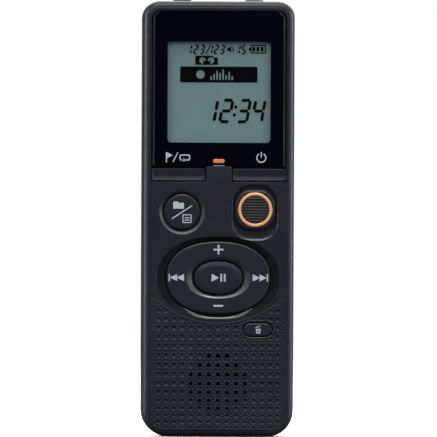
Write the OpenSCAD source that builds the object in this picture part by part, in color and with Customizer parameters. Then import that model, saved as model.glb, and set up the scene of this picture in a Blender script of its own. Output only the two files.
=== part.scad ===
// Handheld voice recorder, standing upright: +Z runs up its length, -Y is the front with
// the display and keys, and the origin is at the middle of the bottom end.

/* [Body] */
// Width across the sides
body_w = 37.5; // [37:0.25:38.5]
// Length from bottom end to top end
body_h = 107.85; // [107.5:0.05:110]
// Thickness from front face to back face
body_d = 16.8; // [16.6:0.1:17.4]
// Wall thickness of both case shells
wall = 1.4; // [1.3:0.05:1.5]
// Corner radius at the top end, seen from the front
top_corner_r = 4.1; // [3.6:0.1:4.6]
// Corner radius at the bottom end, seen from the front
bottom_corner_r = 6.6; // [6:0.1:7.2]
// Radius of the rounded shoulder round the front face
shoulder_r = 2.4; // [2:0.1:2.6]
// Radius of the rounding round the back face
back_r = 3.2; // [2.8:0.1:3.4]

/* [Display] */
// Width of the glossy window
window_w = 33.1; // [32.6:0.1:33.4]
// Thickness of the window
window_t = 1; // [0.8:0.05:1]
// Width of the display area that shows through the window
view_w = 25.5; // [24:0.1:26]
// Height of the display area that shows through the window
view_h = 24.9; // [24:0.1:25.5]

/* [Keys] */
// How far a push key travels
key_travel = 0.4; // [0.2:0.05:0.4]
// Gap between a key and the opening it moves in
key_gap = 0.15; // [0.1:0.01:0.2]
// How far the record slider travels down
slide_travel = 2; // [1.5:0.1:2]
// How far the record slider stands proud of the front face
knob_proud = 0.6; // [0.4:0.1:0.8]

/* [Battery bay] */
// Radius of one AAA cell
cell_r = 5.25; // [5:0.05:5.25]
// Length of one AAA cell with its nub
cell_len = 44.5; // [43.5:0.1:44.5]

/* [Hidden] */
// Depth stations along Y. The proud slider and the back face are level about y = 0.
y_back = (body_d + knob_proud) / 2;
y_front = y_back - body_d;
y_split = y_front + 3.9;          // joint between the two shells
y_window = y_front + window_t;    // back of the window
y_ledge = y_window + 0.1;         // front of the ledge behind the window
ledge_t = 0.7;
eps = 0.02;                       // gap between fixed pieces that rest against each other
lap = 0.1;                        // how far shapes of one piece run into each other
past = 1;                         // how far a cut runs beyond what it cuts
y_inner = y_front + wall;         // inside of the front wall
y_board = y_front + 3.7;          // front of the circuit board
board_t = 0.7;
y_board_back = y_board + board_t;
dome_h = 0.25;                    // height of a switch dome on the board
dome_r = 1.4;
boot_gap = 0.05;                  // between a boot and its dome when the key is all the way in
boot_end = y_board - dome_h - key_travel - boot_gap;
flange_t = 0.5;
membrane_t = 0.3;
y_membrane = y_board - 1.05;      // front of the rubber sheet that the boots stand up from
membrane_z = 45.6;
membrane_w = 32.6;
membrane_h = 42;
bar_boot_r = 0.9;
folder_boot_r = 1.5;
erase_boot_r = 1;
play_boot_r = 1.6;
nav_boot_r = 1;
y_flange = y_inner + 0.1;         // front of the flange on each push key
flange_w = 0.5;
erase_flange_w = 0.4;
bay_floor_t = 0.65;
y_bay_floor = y_board_back + 0.1; // front of the battery bay's floor
cover_t = 0.8;                    // thickness of the battery cover
y_cover_seat = y_back - cover_t - 0.25; // face behind the closed cover

// Layout on the front face, as x and z
window_z0 = 66.95;
window_z1 = body_h - 2.5;
window_corner_r = 2.1;
view_z = 85.45;
view_corner_r = 0.9;
lamp_z = 68.25;
lens_w = 3;                       // of the lens over the lamp
lens_h = 1.05;
lens_r = 0.5;
lens_gap = 0.1;
led_w = 1.6;
led_h = 0.8;
led_t = 0.6;
ledge_z = 86.4;
ledge_h = 38.2;
bar_x = 10.05;
bar_z = 65.3;
bar_w = 13.1;
bar_h = 2.75;
bar_corner_r = 0.25;
bar_slot_lap = 0.275;             // how far the slots of the bar keys run up into the window's seat
bar_foot_z = bar_z - 0.4;         // where a bar key presses its switch
scoop_r = 2.45;                   // finger scoop along a bar key
scoop_depth = 0.15;
scoop_margin = 0.7;
scoop_rise = 0.15;
pair_x = 9.05;                    // folder key and record slider, either side of centre
folder_z = 55.7;
folder_r = 4.4;
folder_dish = 1.6;                // how much wider than the key its dished surround is
folder_dish_depth = 0.45;
slot_z = 55.65;                   // middle of the recess that the slider runs in
slot_w = 10.45;
slot_h = 13;
slot_depth = 1;
slot_corner_r = 4;
slot_floor_t = 0.6;
neck_w = 4;                       // neck that joins the slider to its carriage
neck_h = 4.6;
neck_gap = 0.15;
carriage_w = 7;
carriage_h = 7.6;
carriage_t = 0.53;
y_carriage = y_front + slot_depth + 0.77;
lever_w = 1.1;                    // lever of the switch behind the slider
lever_h = 1.3;
switch_w = 4.6;
switch_h = 6.6;
switch_t = 0.88;
knob_z = 56.25;
knob_w = 9.7;
knob_corner_r = 3.9;
knob_seat = 0.1;                  // how far the floor of the ring's seat lies in front of the face
ring_out_r = 4.25;
ring_in_r = 3.42;
rib_pitch = 0.68;
rib_w = 0.34;
nav_z = 39.4;
nav_a = 12.85;                    // half width and half height of the rocker ring
nav_b = 8.9;
moat_a = 15;                      // and of the sloping moat round it
moat_b = 10.15;
moat_depth = 0.9;
play_a = 5.9;                     // and of the key in its middle
play_b = 3.95;
dish_a = 8;                       // and of the brim of the dish round that key
dish_b = 4.95;
dish_depth = 0.5;
nav_gap = 0.3;
play_gap = 0.2;
nav_flange_w = 0.65;              // how far the ring's flange reaches under the case
y_nav_foot = y_inner + 1.05;      // back of that flange
y_play_foot = y_inner + 1.1;
rocker_w = 6.4;                   // plate that turns with the ring when it is pressed above or below
rocker_h = 15.4;
rocker_t = 0.25;
key_proud = 0.1;                  // how far each kind of key stands proud of the face
erase_proud = 0.15;
nav_proud = 0.15;
play_proud = 0.25;
oval_power = 2.2;                 // 2 is an ellipse, more is squarer
erase_x = 9.8;
erase_z = 26.6;
erase_w = 7;
erase_h = 3.1;
switch_reach_x = 9;               // switches under the rocker ring, out from its middle
switch_reach_z = 6.3;

// Loudspeaker and its holes, on a lattice that closes up away from its middle
speaker_z = 13.5;
speaker_r = 10;
speaker_t = 1.57;
y_speaker = y_inner + 0.73;       // front of the loudspeaker, behind its gasket
frame_wall = 0.6;
frame_back_t = 0.3;
magnet_r = 6;
magnet_t = 1.4;
coil_r = 4;
mesh_t = 0.11;
contact_x = 2;
contact_w = 1;
hole_r = 0.42;
lattice_span_x = 24.3;
lattice_step_x = 5.33;            // degrees for each column
lattice_span_z = 21.4;
lattice_step_z = 6.25;            // degrees for each row
lattice_top_z = 20;
hole_rows = [1, 2, 3, 3, 3, 2, 1]; // columns of holes either side of the middle one

// Sockets, fixings and cells
jack_x = 8.95;
jack_y = -0.2;
jack_bore_r = 1.75;
jack_w = 5.4;
jack_d = 6.2;
jack_end_t = 1;
jack_z0 = 93.5;
jack_z1 = 106.4;
collar_r = 2.25;
collar_h = 1.05;
collar_proud = 0.4;
mic_z0 = body_h - 4.4;            // microphone capsule, and the rubber boot it sits in
mic_r = 2;
mic_h = 1.5;
mic_boot_h = 3.2;
usb_z = 80;
usb_half_w = 3.75;
usb_h = 2.55;
usb_depth = 5.15;
usb_wall = 0.25;
usb_x1 = body_w / 2 - 0.15;
usb_y0 = y_board_back + 0.05;
port_r = 0.6;                     // microphone port in the top end
label_z = 83;
label_w = 22;
label_h = 16;
label_depth = 0.2;
label_corner_r = 0.9;
low_screw = [12.9, 11];           // hidden by the battery cover
high_screw = [13.7, 103.3];
screw_head_r = 1.5;
screw_r = 0.8;
post_r = 1.6;                     // posts in the front shell that the case screws bite into
cross_w = 1.7;                    // crosshead of a case screw
cross_t = 0.4;
cross_depth = 0.4;
head_drop = 0.5;                  // how far the heads lie below the face they sink into
head_sink = 1.5;                  // depth of the counterbores for their heads
sleeve_r = 1.9;                   // sleeves in the rear shell round them
board_screw_r = 0.5;
board_post_r = 1.2;
low_screw_y = y_cover_seat;       // faces that the two pairs of heads sink into
high_screw_y = y_back;
board_screw_x = 15.2;
board_screw_z = 48.8;
cell_x = 5.35;
cell_y = 2.33;
nub_r = 1.9;
nub_h = 1;
cell_gap = 0.15;                  // between a cell's nub and its contact plate
bay_half_w = 10.8;
bay_z0 = 7.5;
bay_z1 = 59.1;
bay_wall = 0.8;
ridge_w = 1;
ridge_drop = 4;                   // top of the ridge below the axes of the cells
ridge_z0 = 16;
ridge_z1 = 50;
cradle_depth = 2.4;               // solid around the axis of the hinge
bay_rim = 1.2;                    // solid outside the edge of the cover
bay_opening = 4.65;                  // depth at which the bay opens out towards the cover
plate_t = 0.4;                    // contact plates of the cells
plate_half_w = 4.6;
plate_gap = 0.05;
cover_half_w = 14.6;
cover_z1 = 61;
cover_gap = 0.2;
cover_corner_r = 1.5;
grip_grooves = 7;
groove_z0 = 47.5;
groove_pitch = 1.5;
groove_r = 0.6;
groove_depth = 0.25;
groove_half_w = 6;
hinge_r = 1.5;                    // radius of the rounded lower end of the cover
hinge_y = y_back - hinge_r;
hinge_z = 5;
hinge_pin_r = 0.5;
hinge_fit = 0.05;
hinge_boss_w = 1.6;
spring_wire_r = 0.25;
spring_turns = 4;
spring_base_r = 3.4;
spring_tip_r = 2.1;
spring_gap = 0.12;                // between a spring and its contact plate
board_z0 = 24.2;
board_z1 = 103;
board_w = 33.4;

// Parts on the back of the board
processor_z = 76.5;
processor_w = 9;
memory_z = 87.75;
memory_w = 10;
memory_h = 6.5;
chip_t = 0.98;
parts_z = 66.5;
small_x = 10.7;
coil_x = 9.5;
can_x = 12.5;                     // capacitor in a round can
can_z = 88;
can_r = 2;
can_h = 4.5;

// The display, from its front glass back to its reflector
lcd_w = 28.8;
lcd_front_z = 85.1;
lcd_front_h = 30.4;
lcd_rear_z = 86;
lcd_rear_h = 28.6;
lcd_glass_t = 0.68;
lcd_film_t = 0.13;
lcd_gap = 0.2;                    // room that the frame leaves round the glass
lcd_corner_r = 0.2;
lcd_frame_w = 31.4;
lcd_frame_h = 32.6;
zebra_h = 1.4;                    // rubber strip that connects the front glass to the board

// ---------- outlines in the plane of the front face, with x across and y standing for Z ----------

// A rectangle centred across, from v0 up to v1, with corners of radius r0 at v0 and r1 at v1.
module rounded(w, v0, v1, r0, r1) {
    translate([-w / 2, v0 + r0]) square([w, v1 - v0 - r0 - r1]);
    translate([r0 - w / 2, v0]) square([w - 2 * r0, v1 - v0 - r1]);
    translate([r1 - w / 2, v0 + r0]) square([w - 2 * r1, v1 - v0 - r0]);
    for (side = [-1, 1]) {
        if (r0 > 0) translate([side * (w / 2 - r0), v0 + r0]) circle(r = r0, $fn = 48);
        if (r1 > 0) translate([side * (w / 2 - r1), v1 - r1]) circle(r = r1, $fn = 48);
    }
}
module plate(w, h, r) { rounded(w, -h / 2, h / 2, r, r); }

// An oval between an ellipse and a rectangle.
function oval_points(a, b, steps = 48) =
    [for (i = [0:steps - 1]) let (c = cos(360 * i / steps), s = sin(360 * i / steps))
        [a * sign(c) * pow(abs(c), 2 / oval_power), b * sign(s) * pow(abs(s), 2 / oval_power)]];
module oval(a, b) { polygon(oval_points(a, b)); }

// Extrudes a face outline from depth y0 back to depth y1.
module slab(y0, y1) { translate([0, y1, 0]) rotate([90, 0, 0]) linear_extrude(y1 - y0) children(); }
module at(x, z) { translate([x, 0, z]) children(); }
module rod(r, y0, y1) { translate([0, y1, 0]) rotate([90, 0, 0]) cylinder(r = r, h = y1 - y0, $fn = 48); }
module axle(r, half_w) { rotate([0, 90, 0]) cylinder(r = r, h = 2 * half_w, center = true, $fn = 48); }
module both_sides(x, z) { for (side = [-1, 1]) at(side * x, z) children(); }
module box(x0, x1, y0, y1, z0, z1) { translate([x0, y0, z0]) cube([x1 - x0, y1 - y0, z1 - z0]); }
module lamp_shape(gap) { plate(lens_w + 2 * gap, lens_h + 2 * gap, lens_r); }
module lcd_shape(h, gap, r) { plate(lcd_w + 2 * gap, h + 2 * gap, r); }

// The whole body, shrunk by off on every side: its front outline, its section across and its
// section along, each drawn out to the full size and intersected.
module case_solid(off = 0) {
    w = body_w - 2 * off;
    h = body_h - 2 * off;
    y0 = y_front + off;
    y1 = y_back - off;
    front_r = max(shoulder_r - off, 0.3);
    rear_r = max(back_r - off, 0.3);
    intersection() {
        slab(y0, y1) rounded(w, off, body_h - off, bottom_corner_r - off, top_corner_r - off);
        translate([0, 0, off]) linear_extrude(h) rounded(w, y0, y1, front_r, rear_r);
        translate([-w / 2, 0, body_h / 2]) rotate([90, 0, 90]) linear_extrude(w)
            rotate(-90) rounded(h, y0, y1, front_r, rear_r);
    }
}

// ---------- case shells ----------

module speaker_holes() {
    for (row = [0:len(hole_rows) - 1])
        for (column = [-hole_rows[row]:hole_rows[row]])
            at(lattice_span_x * sin(lattice_step_x * column),
                lattice_top_z - lattice_span_z * sin(lattice_step_z * row))
                rod(hole_r, y_front - past, y_inner + past);
}

module front_openings() {
    window_h = window_z1 - window_z0;
    // Seat for the window, the display opening and the lamp opening
    at(0, (window_z0 + window_z1) / 2)
        slab(y_front - past, y_ledge)
            plate(window_w + 2 * lens_gap, window_h + 2 * lens_gap, window_corner_r);
    at(0, lcd_front_z) slab(y_ledge - past, y_board) lcd_shape(lcd_front_h, lcd_gap, 0.8);
    at(0, lamp_z) slab(y_front, y_board) lamp_shape(lens_gap);
    // Two bar keys under the window
    both_sides(bar_x, (bar_z - bar_h / 2 - key_gap + window_z0 + bar_slot_lap) / 2)
        slab(y_front - past, y_board)
            plate(bar_w + 2 * key_gap, window_z0 + bar_slot_lap - bar_z + bar_h / 2 + key_gap, bar_corner_r);
    // Folder key, with a dished surround
    at(-pair_x, folder_z) {
        rod(folder_r + key_gap, y_front - past, y_board);
        translate([0, y_front + folder_dish_depth, 0]) rotate([90, 0, 0])
            cylinder(r1 = folder_r + key_gap, r2 = folder_r + folder_dish,
                h = 2 * folder_dish_depth, $fn = 48);
    }
    // Recess and slot for the record slider
    at(pair_x, slot_z) slab(y_front - past, y_front + slot_depth) plate(slot_w, slot_h, slot_corner_r);
    at(pair_x, knob_z - slide_travel / 2)
        slab(y_front, y_board) plate(neck_w + 2 * neck_gap, neck_h + 2 * neck_gap + slide_travel, 0.5);
    // Rocker ring, with its sloping moat
    at(0, nav_z) {
        slab(y_front, y_board) oval(nav_a + nav_gap, nav_b + nav_gap);
        hull() {
            slab(y_front - eps, y_front) oval(moat_a, moat_b);
            slab(y_front + moat_depth, y_front + moat_depth + eps) oval(nav_a + nav_gap, nav_b + nav_gap);
        }
    }
    at(erase_x, erase_z)
        slab(y_front - past, y_board)
            plate(erase_w + 2 * key_gap, erase_h + 2 * key_gap, erase_h / 2 + key_gap - eps);
    speaker_holes();
}

module front_posts() {
    for (place = [low_screw, high_screw])
        both_sides(place[0], place[1]) rod(post_r, y_inner - lap, y_bay_floor + 0.4);
    both_sides(board_screw_x, board_screw_z) rod(board_post_r, y_inner - 2 * lap, y_board - 0.05);
}

module front_case() {
    color([0.13, 0.135, 0.155]) difference() {
        union() {
            difference() {
                case_solid();
                case_solid(wall);
                box(-body_w, body_w, y_split, y_back + past, -past, body_h + past);
            }
            // Ledge behind the window and floor of the slider's recess
            intersection() {
                at(0, ledge_z) slab(y_ledge, y_ledge + ledge_t) plate(body_w - 1, ledge_h, 2);
                case_solid(wall / 2);
            }
            at(pair_x, slot_z)
                slab(y_front + slot_depth, y_front + slot_depth + slot_floor_t)
                    plate(slot_w + 1.6, slot_h + 0.9, slot_corner_r - past);
            front_posts();
        }
        front_openings();
        for (place = [low_screw, high_screw])
            both_sides(place[0], place[1]) rod(screw_r + 0.05, y_ledge + past, y_bay_floor + past);
        both_sides(board_screw_x, board_screw_z) rod(board_screw_r + 0.05, y_inner + lap, y_board + past);
    }
}

// The room that the battery cover and its hinge need in the rear shell.
module cover_room() {
    slab(y_cover_seat, y_back + past)
        rounded(2 * (cover_half_w + cover_gap), hinge_z, cover_z1 + cover_gap, 0, cover_corner_r + cover_gap);
    translate([0, hinge_y, hinge_z]) {
        axle(hinge_r + cover_gap, cover_half_w + cover_gap);
        // Below the hinge the cover lies here when it is open
        box(-cover_half_w - cover_gap, cover_half_w + cover_gap, 0, hinge_r + 1, -hinge_r - cover_gap, 0);
    }
}

module battery_bay() {
    difference() {
        box(-bay_half_w - bay_wall, bay_half_w + bay_wall, y_bay_floor, y_back - wall,
            bay_z0 - bay_wall, bay_z1 + bay_wall);
        box(-bay_half_w, bay_half_w, y_bay_floor + bay_floor_t, y_back + past, bay_z0, bay_z1);
    }
    // Low ridge between the two cells
    box(-ridge_w / 2, ridge_w / 2, y_bay_floor + lap, cell_y - ridge_drop, ridge_z0, ridge_z1);
}

module rear_case() {
    frame_w = cover_half_w + bay_rim;
    color([0.11, 0.115, 0.13]) difference() {
        union() {
            difference() {
                case_solid();
                case_solid(wall);
                box(-body_w, body_w, y_front - past, y_split, -past, body_h + past);
            }
            battery_bay();
            // Seat behind the cover, cradle behind its hinge and a boss for each end of the pin
            intersection() {
                case_solid(wall / 2);
                union() {
                    box(-frame_w, frame_w, y_cover_seat - 1, y_back, bay_z0 - bay_wall, cover_z1 + bay_rim);
                    box(-frame_w - 1, frame_w + 1, hinge_y - cradle_depth, y_back, 0, bay_z0 - bay_wall + lap);
                }
            }
            both_sides(low_screw[0], low_screw[1]) rod(sleeve_r, y_bay_floor + 0.5, y_cover_seat - lap);
            both_sides(high_screw[0], high_screw[1]) rod(sleeve_r, y_bay_floor + 0.5, y_back - 0.5);
        }
        cover_room();
        translate([0, hinge_y, hinge_z]) axle(hinge_pin_r, cover_half_w + hinge_boss_w);
        box(-bay_half_w, bay_half_w, y_bay_floor + bay_opening, y_back + past, bay_z0, bay_z1);
        screw_room(low_screw, low_screw_y);
        screw_room(high_screw, high_screw_y);
        // Top end: two socket openings and the microphone port
        for (side = [-1, 1])
            translate([side * jack_x, jack_y, body_h - 2 * wall])
                cylinder(r = collar_r + 0.1, h = 3 * wall, $fn = 48);
        translate([0, jack_y, body_h - 2 * wall]) cylinder(r = port_r, h = 3 * wall, $fn = 32);
        // Side opening for the micro USB socket
        box(body_w / 2 - 2 * wall, body_w / 2 + past, y_split - past, y_board_back + usb_h + 0.35,
            usb_z - usb_half_w - 0.35, usb_z + usb_half_w + 0.35);
        at(0, label_z) slab(y_back - label_depth, y_back + past)
            plate(label_w + 2 * lap, label_h + 2 * lap, label_corner_r + lap);
    }
}

// Clearance hole and counterbore for a pair of screws whose heads sink into the face at y_face.
module screw_room(place, y_face) {
    both_sides(place[0], place[1]) {
        rod(screw_r + 0.15, y_split - past, y_face + past);
        rod(screw_head_r + 0.15, y_face - head_sink, y_face + past);
    }
}

module battery_cover() {
    color([0.115, 0.12, 0.135]) difference() {
        union() {
            slab(y_back - cover_t, y_back) rounded(2 * cover_half_w, hinge_z, cover_z1, 0, cover_corner_r);
            translate([0, hinge_y, hinge_z]) axle(hinge_r, cover_half_w);
        }
        translate([0, hinge_y, hinge_z]) axle(hinge_pin_r + hinge_fit, cover_half_w + past);
        // Thumb grip: grooves across the cover
        for (i = [0:grip_grooves - 1])
            translate([0, y_back + groove_r - groove_depth, groove_z0 + groove_pitch * i])
                axle(groove_r, groove_half_w);
    }
}

module hinge_pin() {
    color([0.72, 0.72, 0.74])
        translate([0, hinge_y, hinge_z]) axle(hinge_pin_r, cover_half_w + hinge_boss_w - hinge_fit);
}

module screw_pair(place, y_face) {
    color([0.55, 0.55, 0.57]) both_sides(place[0], place[1]) difference() {
        union() {
            rod(screw_head_r, y_face - head_sink + 0.05, y_face - head_drop);
            rod(screw_r, y_split - 1.2, y_face - head_sink + lap);
        }
        for (turn = [0, 90])
            translate([0, y_face - head_drop, 0]) rotate([0, turn, 0])
                cube([cross_w, 2 * cross_depth, cross_t], center = true);
    }
}
module case_screws() {
    screw_pair(low_screw, low_screw_y);
    screw_pair(high_screw, high_screw_y);
}

module board_screws() {
    color([0.6, 0.6, 0.62]) both_sides(board_screw_x, board_screw_z) {
        rod(2 * board_screw_r, y_board_back + 0.05, y_board_back + 0.6);
        rod(board_screw_r, y_board - 1.8, y_board_back + lap);
    }
}

module rear_label() {
    color([0.35, 0.36, 0.38])
        at(0, label_z) slab(y_back - label_depth + eps, y_back - 0.05) plate(label_w, label_h, label_corner_r);
}

// ---------- display ----------

module display_window() {
    color([0.02, 0.02, 0.03]) difference() {
        at(0, (window_z0 + window_z1) / 2)
            slab(y_front, y_window) plate(window_w, window_z1 - window_z0, window_corner_r);
        at(0, lamp_z) slab(y_front - past, y_window + past) lamp_shape(lens_gap / 2);
    }
}

module window_mask() {
    color([0.01, 0.01, 0.012]) difference() {
        at(0, (window_z0 + window_z1) / 2)
            slab(y_window + eps / 2, y_ledge - eps / 2)
                plate(window_w - 0.2, window_z1 - window_z0 - 0.2, window_corner_r);
        at(0, view_z) slab(y_front, y_board) plate(view_w, view_h, view_corner_r);
        at(0, lamp_z) slab(y_front, y_board) lamp_shape(lens_gap);
    }
}

module indicator_lens() {
    color([0.85, 0.38, 0.15]) at(0, lamp_z) slab(y_front, y_board - led_t - 0.2) lamp_shape(0);
}
module indicator_led() {
    color([0.9, 0.85, 0.7]) at(0, lamp_z) slab(y_board - led_t, y_board - eps / 2) plate(led_w, led_h, 0.1);
}

y_lcd_rear = y_ledge + lcd_glass_t + 2 * eps;       // front of the rear glass
y_lcd_film = y_lcd_rear + lcd_glass_t + eps;        // front of the reflector
module lcd_front_glass() {
    color([0.45, 0.55, 0.52]) at(0, lcd_front_z)
        slab(y_ledge, y_ledge + lcd_glass_t + eps) lcd_shape(lcd_front_h, 0, lcd_corner_r);
}
module lcd_rear_glass() {
    color([0.42, 0.52, 0.5]) at(0, lcd_rear_z)
        slab(y_lcd_rear, y_lcd_rear + lcd_glass_t) lcd_shape(lcd_rear_h, 0, lcd_corner_r);
}
module lcd_reflector() {
    color([0.75, 0.78, 0.76]) at(0, lcd_rear_z)
        slab(y_lcd_film, y_lcd_film + lcd_film_t) lcd_shape(lcd_rear_h, -lap, lcd_corner_r);
}
module lcd_holder() {
    color([0.85, 0.85, 0.83]) difference() {
        at(0, lcd_front_z) slab(y_ledge + ledge_t + 0.05, y_board - 0.05) plate(lcd_frame_w, lcd_frame_h, 1);
        at(0, lcd_front_z) slab(y_front, y_board + past) lcd_shape(lcd_front_h, lcd_gap, 0.3);
        at(0, lamp_z) slab(y_front, y_board + past) lamp_shape(0.3);
    }
}
module zebra_connector() {
    z0 = lcd_front_z - lcd_front_h / 2 + 0.2;
    color([0.7, 0.3, 0.35])
        box(zebra_h - lcd_w / 2, lcd_w / 2 - zebra_h, y_lcd_rear, y_board - eps, z0, z0 + zebra_h);
}

// ---------- circuit board and what it carries ----------

nav_switches = [[0, switch_reach_z], [0, -switch_reach_z], [switch_reach_x, 0], [-switch_reach_x, 0]];
switch_places = concat(
    [[-bar_x, bar_foot_z], [bar_x, bar_foot_z], [-pair_x, folder_z], [erase_x, erase_z], [0, nav_z]],
    [for (p = nav_switches) [p[0], nav_z + p[1]]]);

module main_board() {
    color([0.1, 0.35, 0.2]) difference() {
        at(0, (board_z0 + board_z1) / 2) slab(y_board, y_board_back) plate(board_w, board_z1 - board_z0, 1.5);
        both_sides(high_screw[0], high_screw[1]) rod(sleeve_r + 0.3, y_front, y_back);
        both_sides(board_screw_x, board_screw_z) rod(board_screw_r + 0.15, y_front, y_back);
    }
}

// A block soldered to the back of the board, centred at x and z.
module chip(x, z, w, h, t) {
    box(x - w / 2, x + w / 2, y_board_back + eps, y_board_back + eps + t, z - h / 2, z + h / 2);
}
module processor_chip() { color([0.08, 0.08, 0.09]) chip(0, processor_z, processor_w, processor_w, chip_t); }
module memory_chip() { color([0.09, 0.09, 0.1]) chip(0, memory_z, memory_w, memory_h, chip_t - 0.1); }

module board_components() {
    color([0.75, 0.73, 0.66]) {
        for (i = [0:4]) chip(-small_x, parts_z + 3 * i, 1.6, 1.4, 0.7);         // capacitors
        for (i = [0:2]) chip(coil_x, parts_z - 2 + 4.5 * i, 3, 3, 1.3);         // inductors
        chip(0, parts_z - 0.5, 6, 2, 1.2);                                      // crystal
        at(-can_x, can_z) rod(can_r, y_board_back + eps, y_board_back + eps + can_h);
    }
}

module switch_domes() {
    color([0.85, 0.82, 0.7]) for (p = switch_places) at(p[0], p[1]) {
        rod(dome_r, y_board - dome_h / 2, y_board - eps / 2);
        rod(0.65 * dome_r, y_board - dome_h, y_board - eps / 2);
    }
}

module record_switch_body() {
    color([0.7, 0.7, 0.72]) difference() {
        at(pair_x, knob_z - slide_travel / 2)
            slab(y_board - eps - switch_t, y_board - eps) plate(switch_w, switch_h, 0.3);
        at(pair_x, knob_z - slide_travel / 2)
            slab(y_board - 2 * switch_t, y_board - 0.3) plate(lever_w + 0.3, switch_h - 2, 0.2);
    }
}

module keypad_membrane() {
    color([0.6, 0.6, 0.6]) difference() {
        at(0, membrane_z) slab(y_membrane, y_membrane + membrane_t) plate(membrane_w, membrane_h, 1);
        at(0, nav_z) slab(y_front, y_back) oval(nav_a + 0.9, nav_b + 0.9);
        at(-pair_x, folder_z) rod(folder_boot_r + 0.3, y_front, y_back);
        at(pair_x, slot_z) slab(y_front, y_back) plate(carriage_w + 1.2, carriage_h + slide_travel + 2.4, 1);
        both_sides(bar_x, bar_foot_z) rod(bar_boot_r + 0.4, y_front, y_back);
        at(erase_x, erase_z) rod(erase_boot_r + 0.3, y_front, y_back);
        both_sides(board_screw_x, board_screw_z) rod(board_post_r + 0.3, y_front, y_back);
    }
}

// ---------- sockets, microphone and loudspeaker ----------

module jack(side) {
    translate([side * jack_x, jack_y, 0]) difference() {
        union() {
            box(-jack_w / 2, jack_w / 2, -jack_d / 2, jack_d / 2, jack_z0, jack_z1);
            translate([0, 0, jack_z1 - lap])
                cylinder(r = collar_r, h = body_h + collar_proud - collar_h - jack_z1 + lap - eps, $fn = 48);
        }
        translate([0, 0, jack_z0 + jack_end_t]) cylinder(r = jack_bore_r, h = body_h - jack_z0, $fn = 48);
    }
}

module jack_collar(side) {
    translate([side * jack_x, jack_y, body_h + collar_proud - collar_h]) difference() {
        cylinder(r = collar_r, h = collar_h, $fn = 48);
        translate([0, 0, -past]) cylinder(r = jack_bore_r + 0.05, h = collar_h + 2 * past, $fn = 48);
    }
}

module mic_jack() { color([0.12, 0.12, 0.12]) jack(-1); }
module mic_jack_collar() { color([0.62, 0.61, 0.66]) jack_collar(-1); }
module earphone_jack() { color([0.12, 0.12, 0.12]) jack(1); }
module earphone_jack_collar() { color([0.06, 0.06, 0.07]) jack_collar(1); }

module microphone_capsule() {
    color([0.7, 0.7, 0.7]) translate([0, jack_y, mic_z0]) cylinder(r = mic_r, h = mic_h, $fn = 48);
}
module microphone_boot() {
    color([0.15, 0.15, 0.15]) translate([0, jack_y, mic_z0]) difference() {
        translate([0, 0, -0.3]) cylinder(r = mic_r + 0.7, h = mic_boot_h, $fn = 48);
        translate([0, 0, -eps]) cylinder(r = mic_r + eps, h = mic_h + 0.05, $fn = 48);
        translate([0, 0, -past]) cylinder(r = port_r + 0.1, h = 2 * mic_boot_h, $fn = 32);
    }
}

module usb_socket() {
    color([0.75, 0.75, 0.77]) difference() {
        box(usb_x1 - usb_depth, usb_x1, usb_y0, usb_y0 + usb_h, usb_z - usb_half_w, usb_z + usb_half_w);
        box(usb_x1 - usb_depth + usb_wall, usb_x1 + past, usb_y0 + usb_wall, usb_y0 + usb_h - usb_wall,
            usb_z - usb_half_w + usb_wall, usb_z + usb_half_w - usb_wall);
    }
}
module usb_tongue() {
    half_w = 0.7 * usb_half_w;
    color([0.05, 0.05, 0.05])
        box(usb_x1 - usb_depth + usb_wall + eps, usb_x1 - 0.85, usb_y0 + 0.95, usb_y0 + 1.55,
            usb_z - half_w, usb_z + half_w);
}

module speaker_frame() {
    color([0.6, 0.6, 0.62]) at(0, speaker_z) difference() {
        rod(speaker_r, y_speaker + 0.02, y_speaker + speaker_t);
        rod(speaker_r - frame_wall, y_speaker, y_speaker + speaker_t - frame_back_t);
        rod(magnet_r + 0.1, y_inner, y_board + past);
    }
}
module speaker_magnet() {
    color([0.35, 0.35, 0.37]) at(0, speaker_z) rod(magnet_r, y_speaker + 0.77, y_speaker + 0.77 + magnet_t);
}
module speaker_cone() {
    color([0.2, 0.19, 0.18]) at(0, speaker_z) {
        rod(speaker_r - frame_wall - 0.1, y_speaker + 0.12, y_speaker + 0.27);
        rod(coil_r, y_speaker + 0.07, y_speaker + 0.72);
    }
}
module speaker_gasket() {
    color([0.1, 0.1, 0.1]) at(0, speaker_z) difference() {
        rod(speaker_r, y_inner + mesh_t + 2 * eps, y_speaker);
        rod(speaker_r - 0.8, y_inner, y_speaker + past);
    }
}
module speaker_mesh() {
    color([0.03, 0.03, 0.03]) at(0, speaker_z) rod(speaker_r, y_inner + eps, y_inner + eps + mesh_t);
}
module speaker_contacts() {
    z0 = speaker_z + speaker_r + 0.05;
    color([0.8, 0.65, 0.3]) for (side = [-1, 1])
        box(side * contact_x - contact_w / 2, side * contact_x + contact_w / 2,
            y_board - 0.2, y_board - eps / 2, z0, board_z0 + 1.5);
}

// ---------- cells and their contacts ----------

module cell(x, base_z, nub_up) {
    translate([x, cell_y, base_z]) {
        translate([0, 0, nub_up ? 0 : nub_h]) cylinder(r = cell_r, h = cell_len - nub_h, $fn = 72);
        translate([0, 0, nub_up ? cell_len - nub_h - lap : 0]) cylinder(r = nub_r, h = nub_h + lap, $fn = 32);
    }
}
module battery_left() { color([0.2, 0.45, 0.3]) cell(-cell_x, bay_z1 - plate_t - cell_gap - cell_len, true); }
module battery_right() { color([0.2, 0.45, 0.3]) cell(cell_x, bay_z0 + plate_t + cell_gap, false); }

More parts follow.
